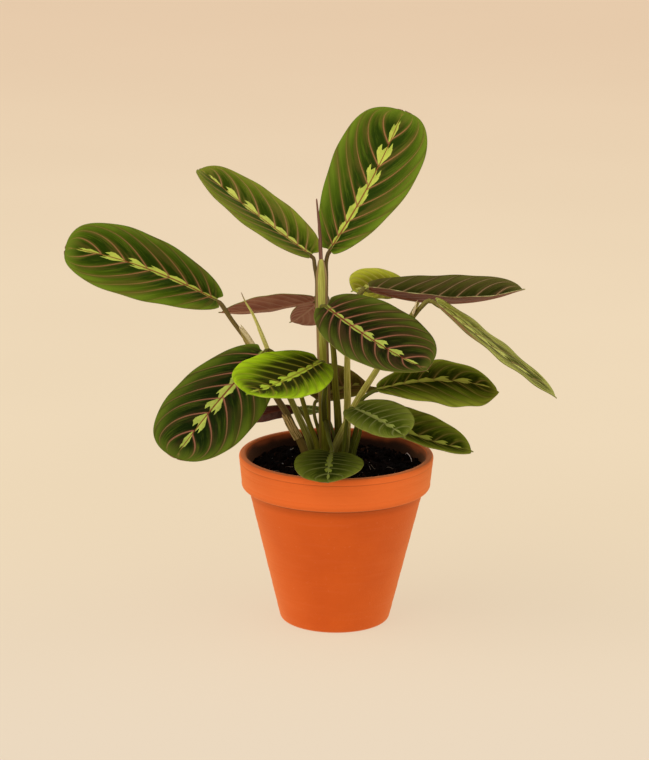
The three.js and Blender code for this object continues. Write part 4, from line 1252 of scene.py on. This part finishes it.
root_draw = random.Random(29)
root_runs = [smooth_run(ARCHED_ROOT, 12)]
while len(root_runs) < ROOTS:
    angle, r = root_draw.uniform(0, math.tau), (soil_radius - 9) * math.sqrt(root_draw.random())
    x, y = r * math.cos(angle), r * math.sin(angle)
    heading, bend = root_draw.uniform(0, math.tau), root_draw.uniform(-0.45, 0.45)
    if math.hypot(x - CROWN[0], y - CROWN[1]) < ROOTS_CLEAR:
        continue
    spots = []
    for _ in range(root_draw.randint(4, 7)):
        spots.append((x, y, soil_height(x, y) + root_draw.uniform(0.3, 1.3)))
        x, y = x + ROOT_STEP * math.cos(heading), y + ROOT_STEP * math.sin(heading)
        heading += bend + root_draw.uniform(-0.3, 0.3)
        if math.hypot(x, y) > soil_radius - 3:
            break
    if len(spots) > 3:
        root_runs.append(smooth_run(spots, 8))

root_skin = Finish("root_skin", roughness=0.7, gloss=0.15)
root_skin.paint(root_skin.mottle(root_skin.place(), 60.0).rising(0.45, 0.62),
                (66, 48, 34), (176, 164, 146))
arched_skin = Finish("root_skin_arched", roughness=0.7, gloss=0.15)
arched_skin.paint(arched_skin.mottle(arched_skin.place(), 300.0).rising(0.35, 0.6),
                  (196, 170, 156), (240, 226, 216))
roots = []
for number, run in enumerate(root_runs):
    thickness, skin = (ROOT_THICKNESS, root_skin) if number else (ARCHED_THICKNESS, arched_skin)
    roots.append(tube(f"root_{number}", run, lambda share, angle: thickness / 2, skin, 6, step=0.9))
set_in_plant(joined_as("root_hairs", roots), "soil")


# ---- Studio ----
# A wide floor painted a warm paper colour, which gives out much of its own light, in a pale
# surround. Two broad soft lights stand at the front left and, weaker, at the right. The camera is
# 1.8 m off with a long lens and looks down a little.

bpy.ops.object.select_all(action="DESELECT")
bpy.ops.mesh.primitive_circle_add(vertices=96, radius=16.0, fill_type="NGON")
floor = bpy.context.object
floor.name = "studio_floor"
paper = Finish("studio_floor", roughness=0.9, gloss=0.1)
_, depth, _ = paper.parts(paper.place())
wash = paper.mottle(paper.place(), 1.2, detail=2.0)
paper.paint(wash.rising(0.3, 0.7), (120, 109, 92), (122, 111, 94))
paper.over(depth.rising(0.2, 3.6) * 0.8, (115, 99, 82))
paper.over(depth.rising(0.3, -0.4) * 0.7, (118, 109, 98))
paper.set("Emission Color", paper.skin)
paper.set("Emission Strength", 3.5)
floor.data.materials.append(paper.material)

surround = bpy.data.worlds.new("studio_surround")
surround.use_nodes = True
glow = surround.node_tree.nodes["Background"]
glow.inputs["Color"].default_value = tint(254, 250, 244)
glow.inputs["Strength"].default_value = 0.52
bpy.context.scene.world = surround


def soft_sun(name, place, strength, spread, colour):
    """Even light from far away in the direction of place, softened over an angle in degrees."""
    bpy.ops.object.light_add(type="SUN", location=place)
    lamp = bpy.context.object
    lamp.name = name
    lamp.data.energy = strength
    lamp.data.angle = math.radians(spread)
    lamp.data.color = colour
    lamp.rotation_euler = (-Vector(place)).to_track_quat("-Z", "Y").to_euler()


soft_sun("light_front_left", (-2.8, -1.3, 2.2), 1.75, 75, (1.0, 0.98, 0.94))
soft_sun("light_right", (2.8, -0.7, 1.3), 1.0, 80, (1.0, 0.97, 0.92))

CAMERA_DISTANCE = 1800.0
CAMERA_TARGET = Vector((10.55, 9.421, 164.8))
CAMERA_PITCH = math.radians(14.25)
CAMERA_ROLL = math.radians(0.53)
FRAME_HEIGHT_SENSOR = 36.0
FOCAL_LENGTH = 128.51
ahead = Vector((0, math.cos(CAMERA_PITCH), -math.sin(CAMERA_PITCH)))
level_right = Vector((1, 0, 0))
level_up = Vector((0, math.sin(CAMERA_PITCH), math.cos(CAMERA_PITCH)))
right = level_right * math.cos(CAMERA_ROLL) + level_up * math.sin(CAMERA_ROLL)
up = level_up * math.cos(CAMERA_ROLL) - level_right * math.sin(CAMERA_ROLL)
eye = bpy.data.cameras.new("studio_camera")
eye.sensor_fit = "VERTICAL"
eye.sensor_height = FRAME_HEIGHT_SENSOR
eye.lens = FOCAL_LENGTH
eye.clip_end = 100.0
camera = bpy.data.objects.new("studio_camera", eye)
bpy.context.collection.objects.link(camera)
turned = Matrix((right, up, -ahead)).transposed()
camera.matrix_world = Matrix.Translation(
    (CAMERA_TARGET - ahead * CAMERA_DISTANCE) * MM) @ turned.to_4x4()
bpy.context.scene.camera = camera
bpy.context.scene.view_settings.view_transform = "Standard"
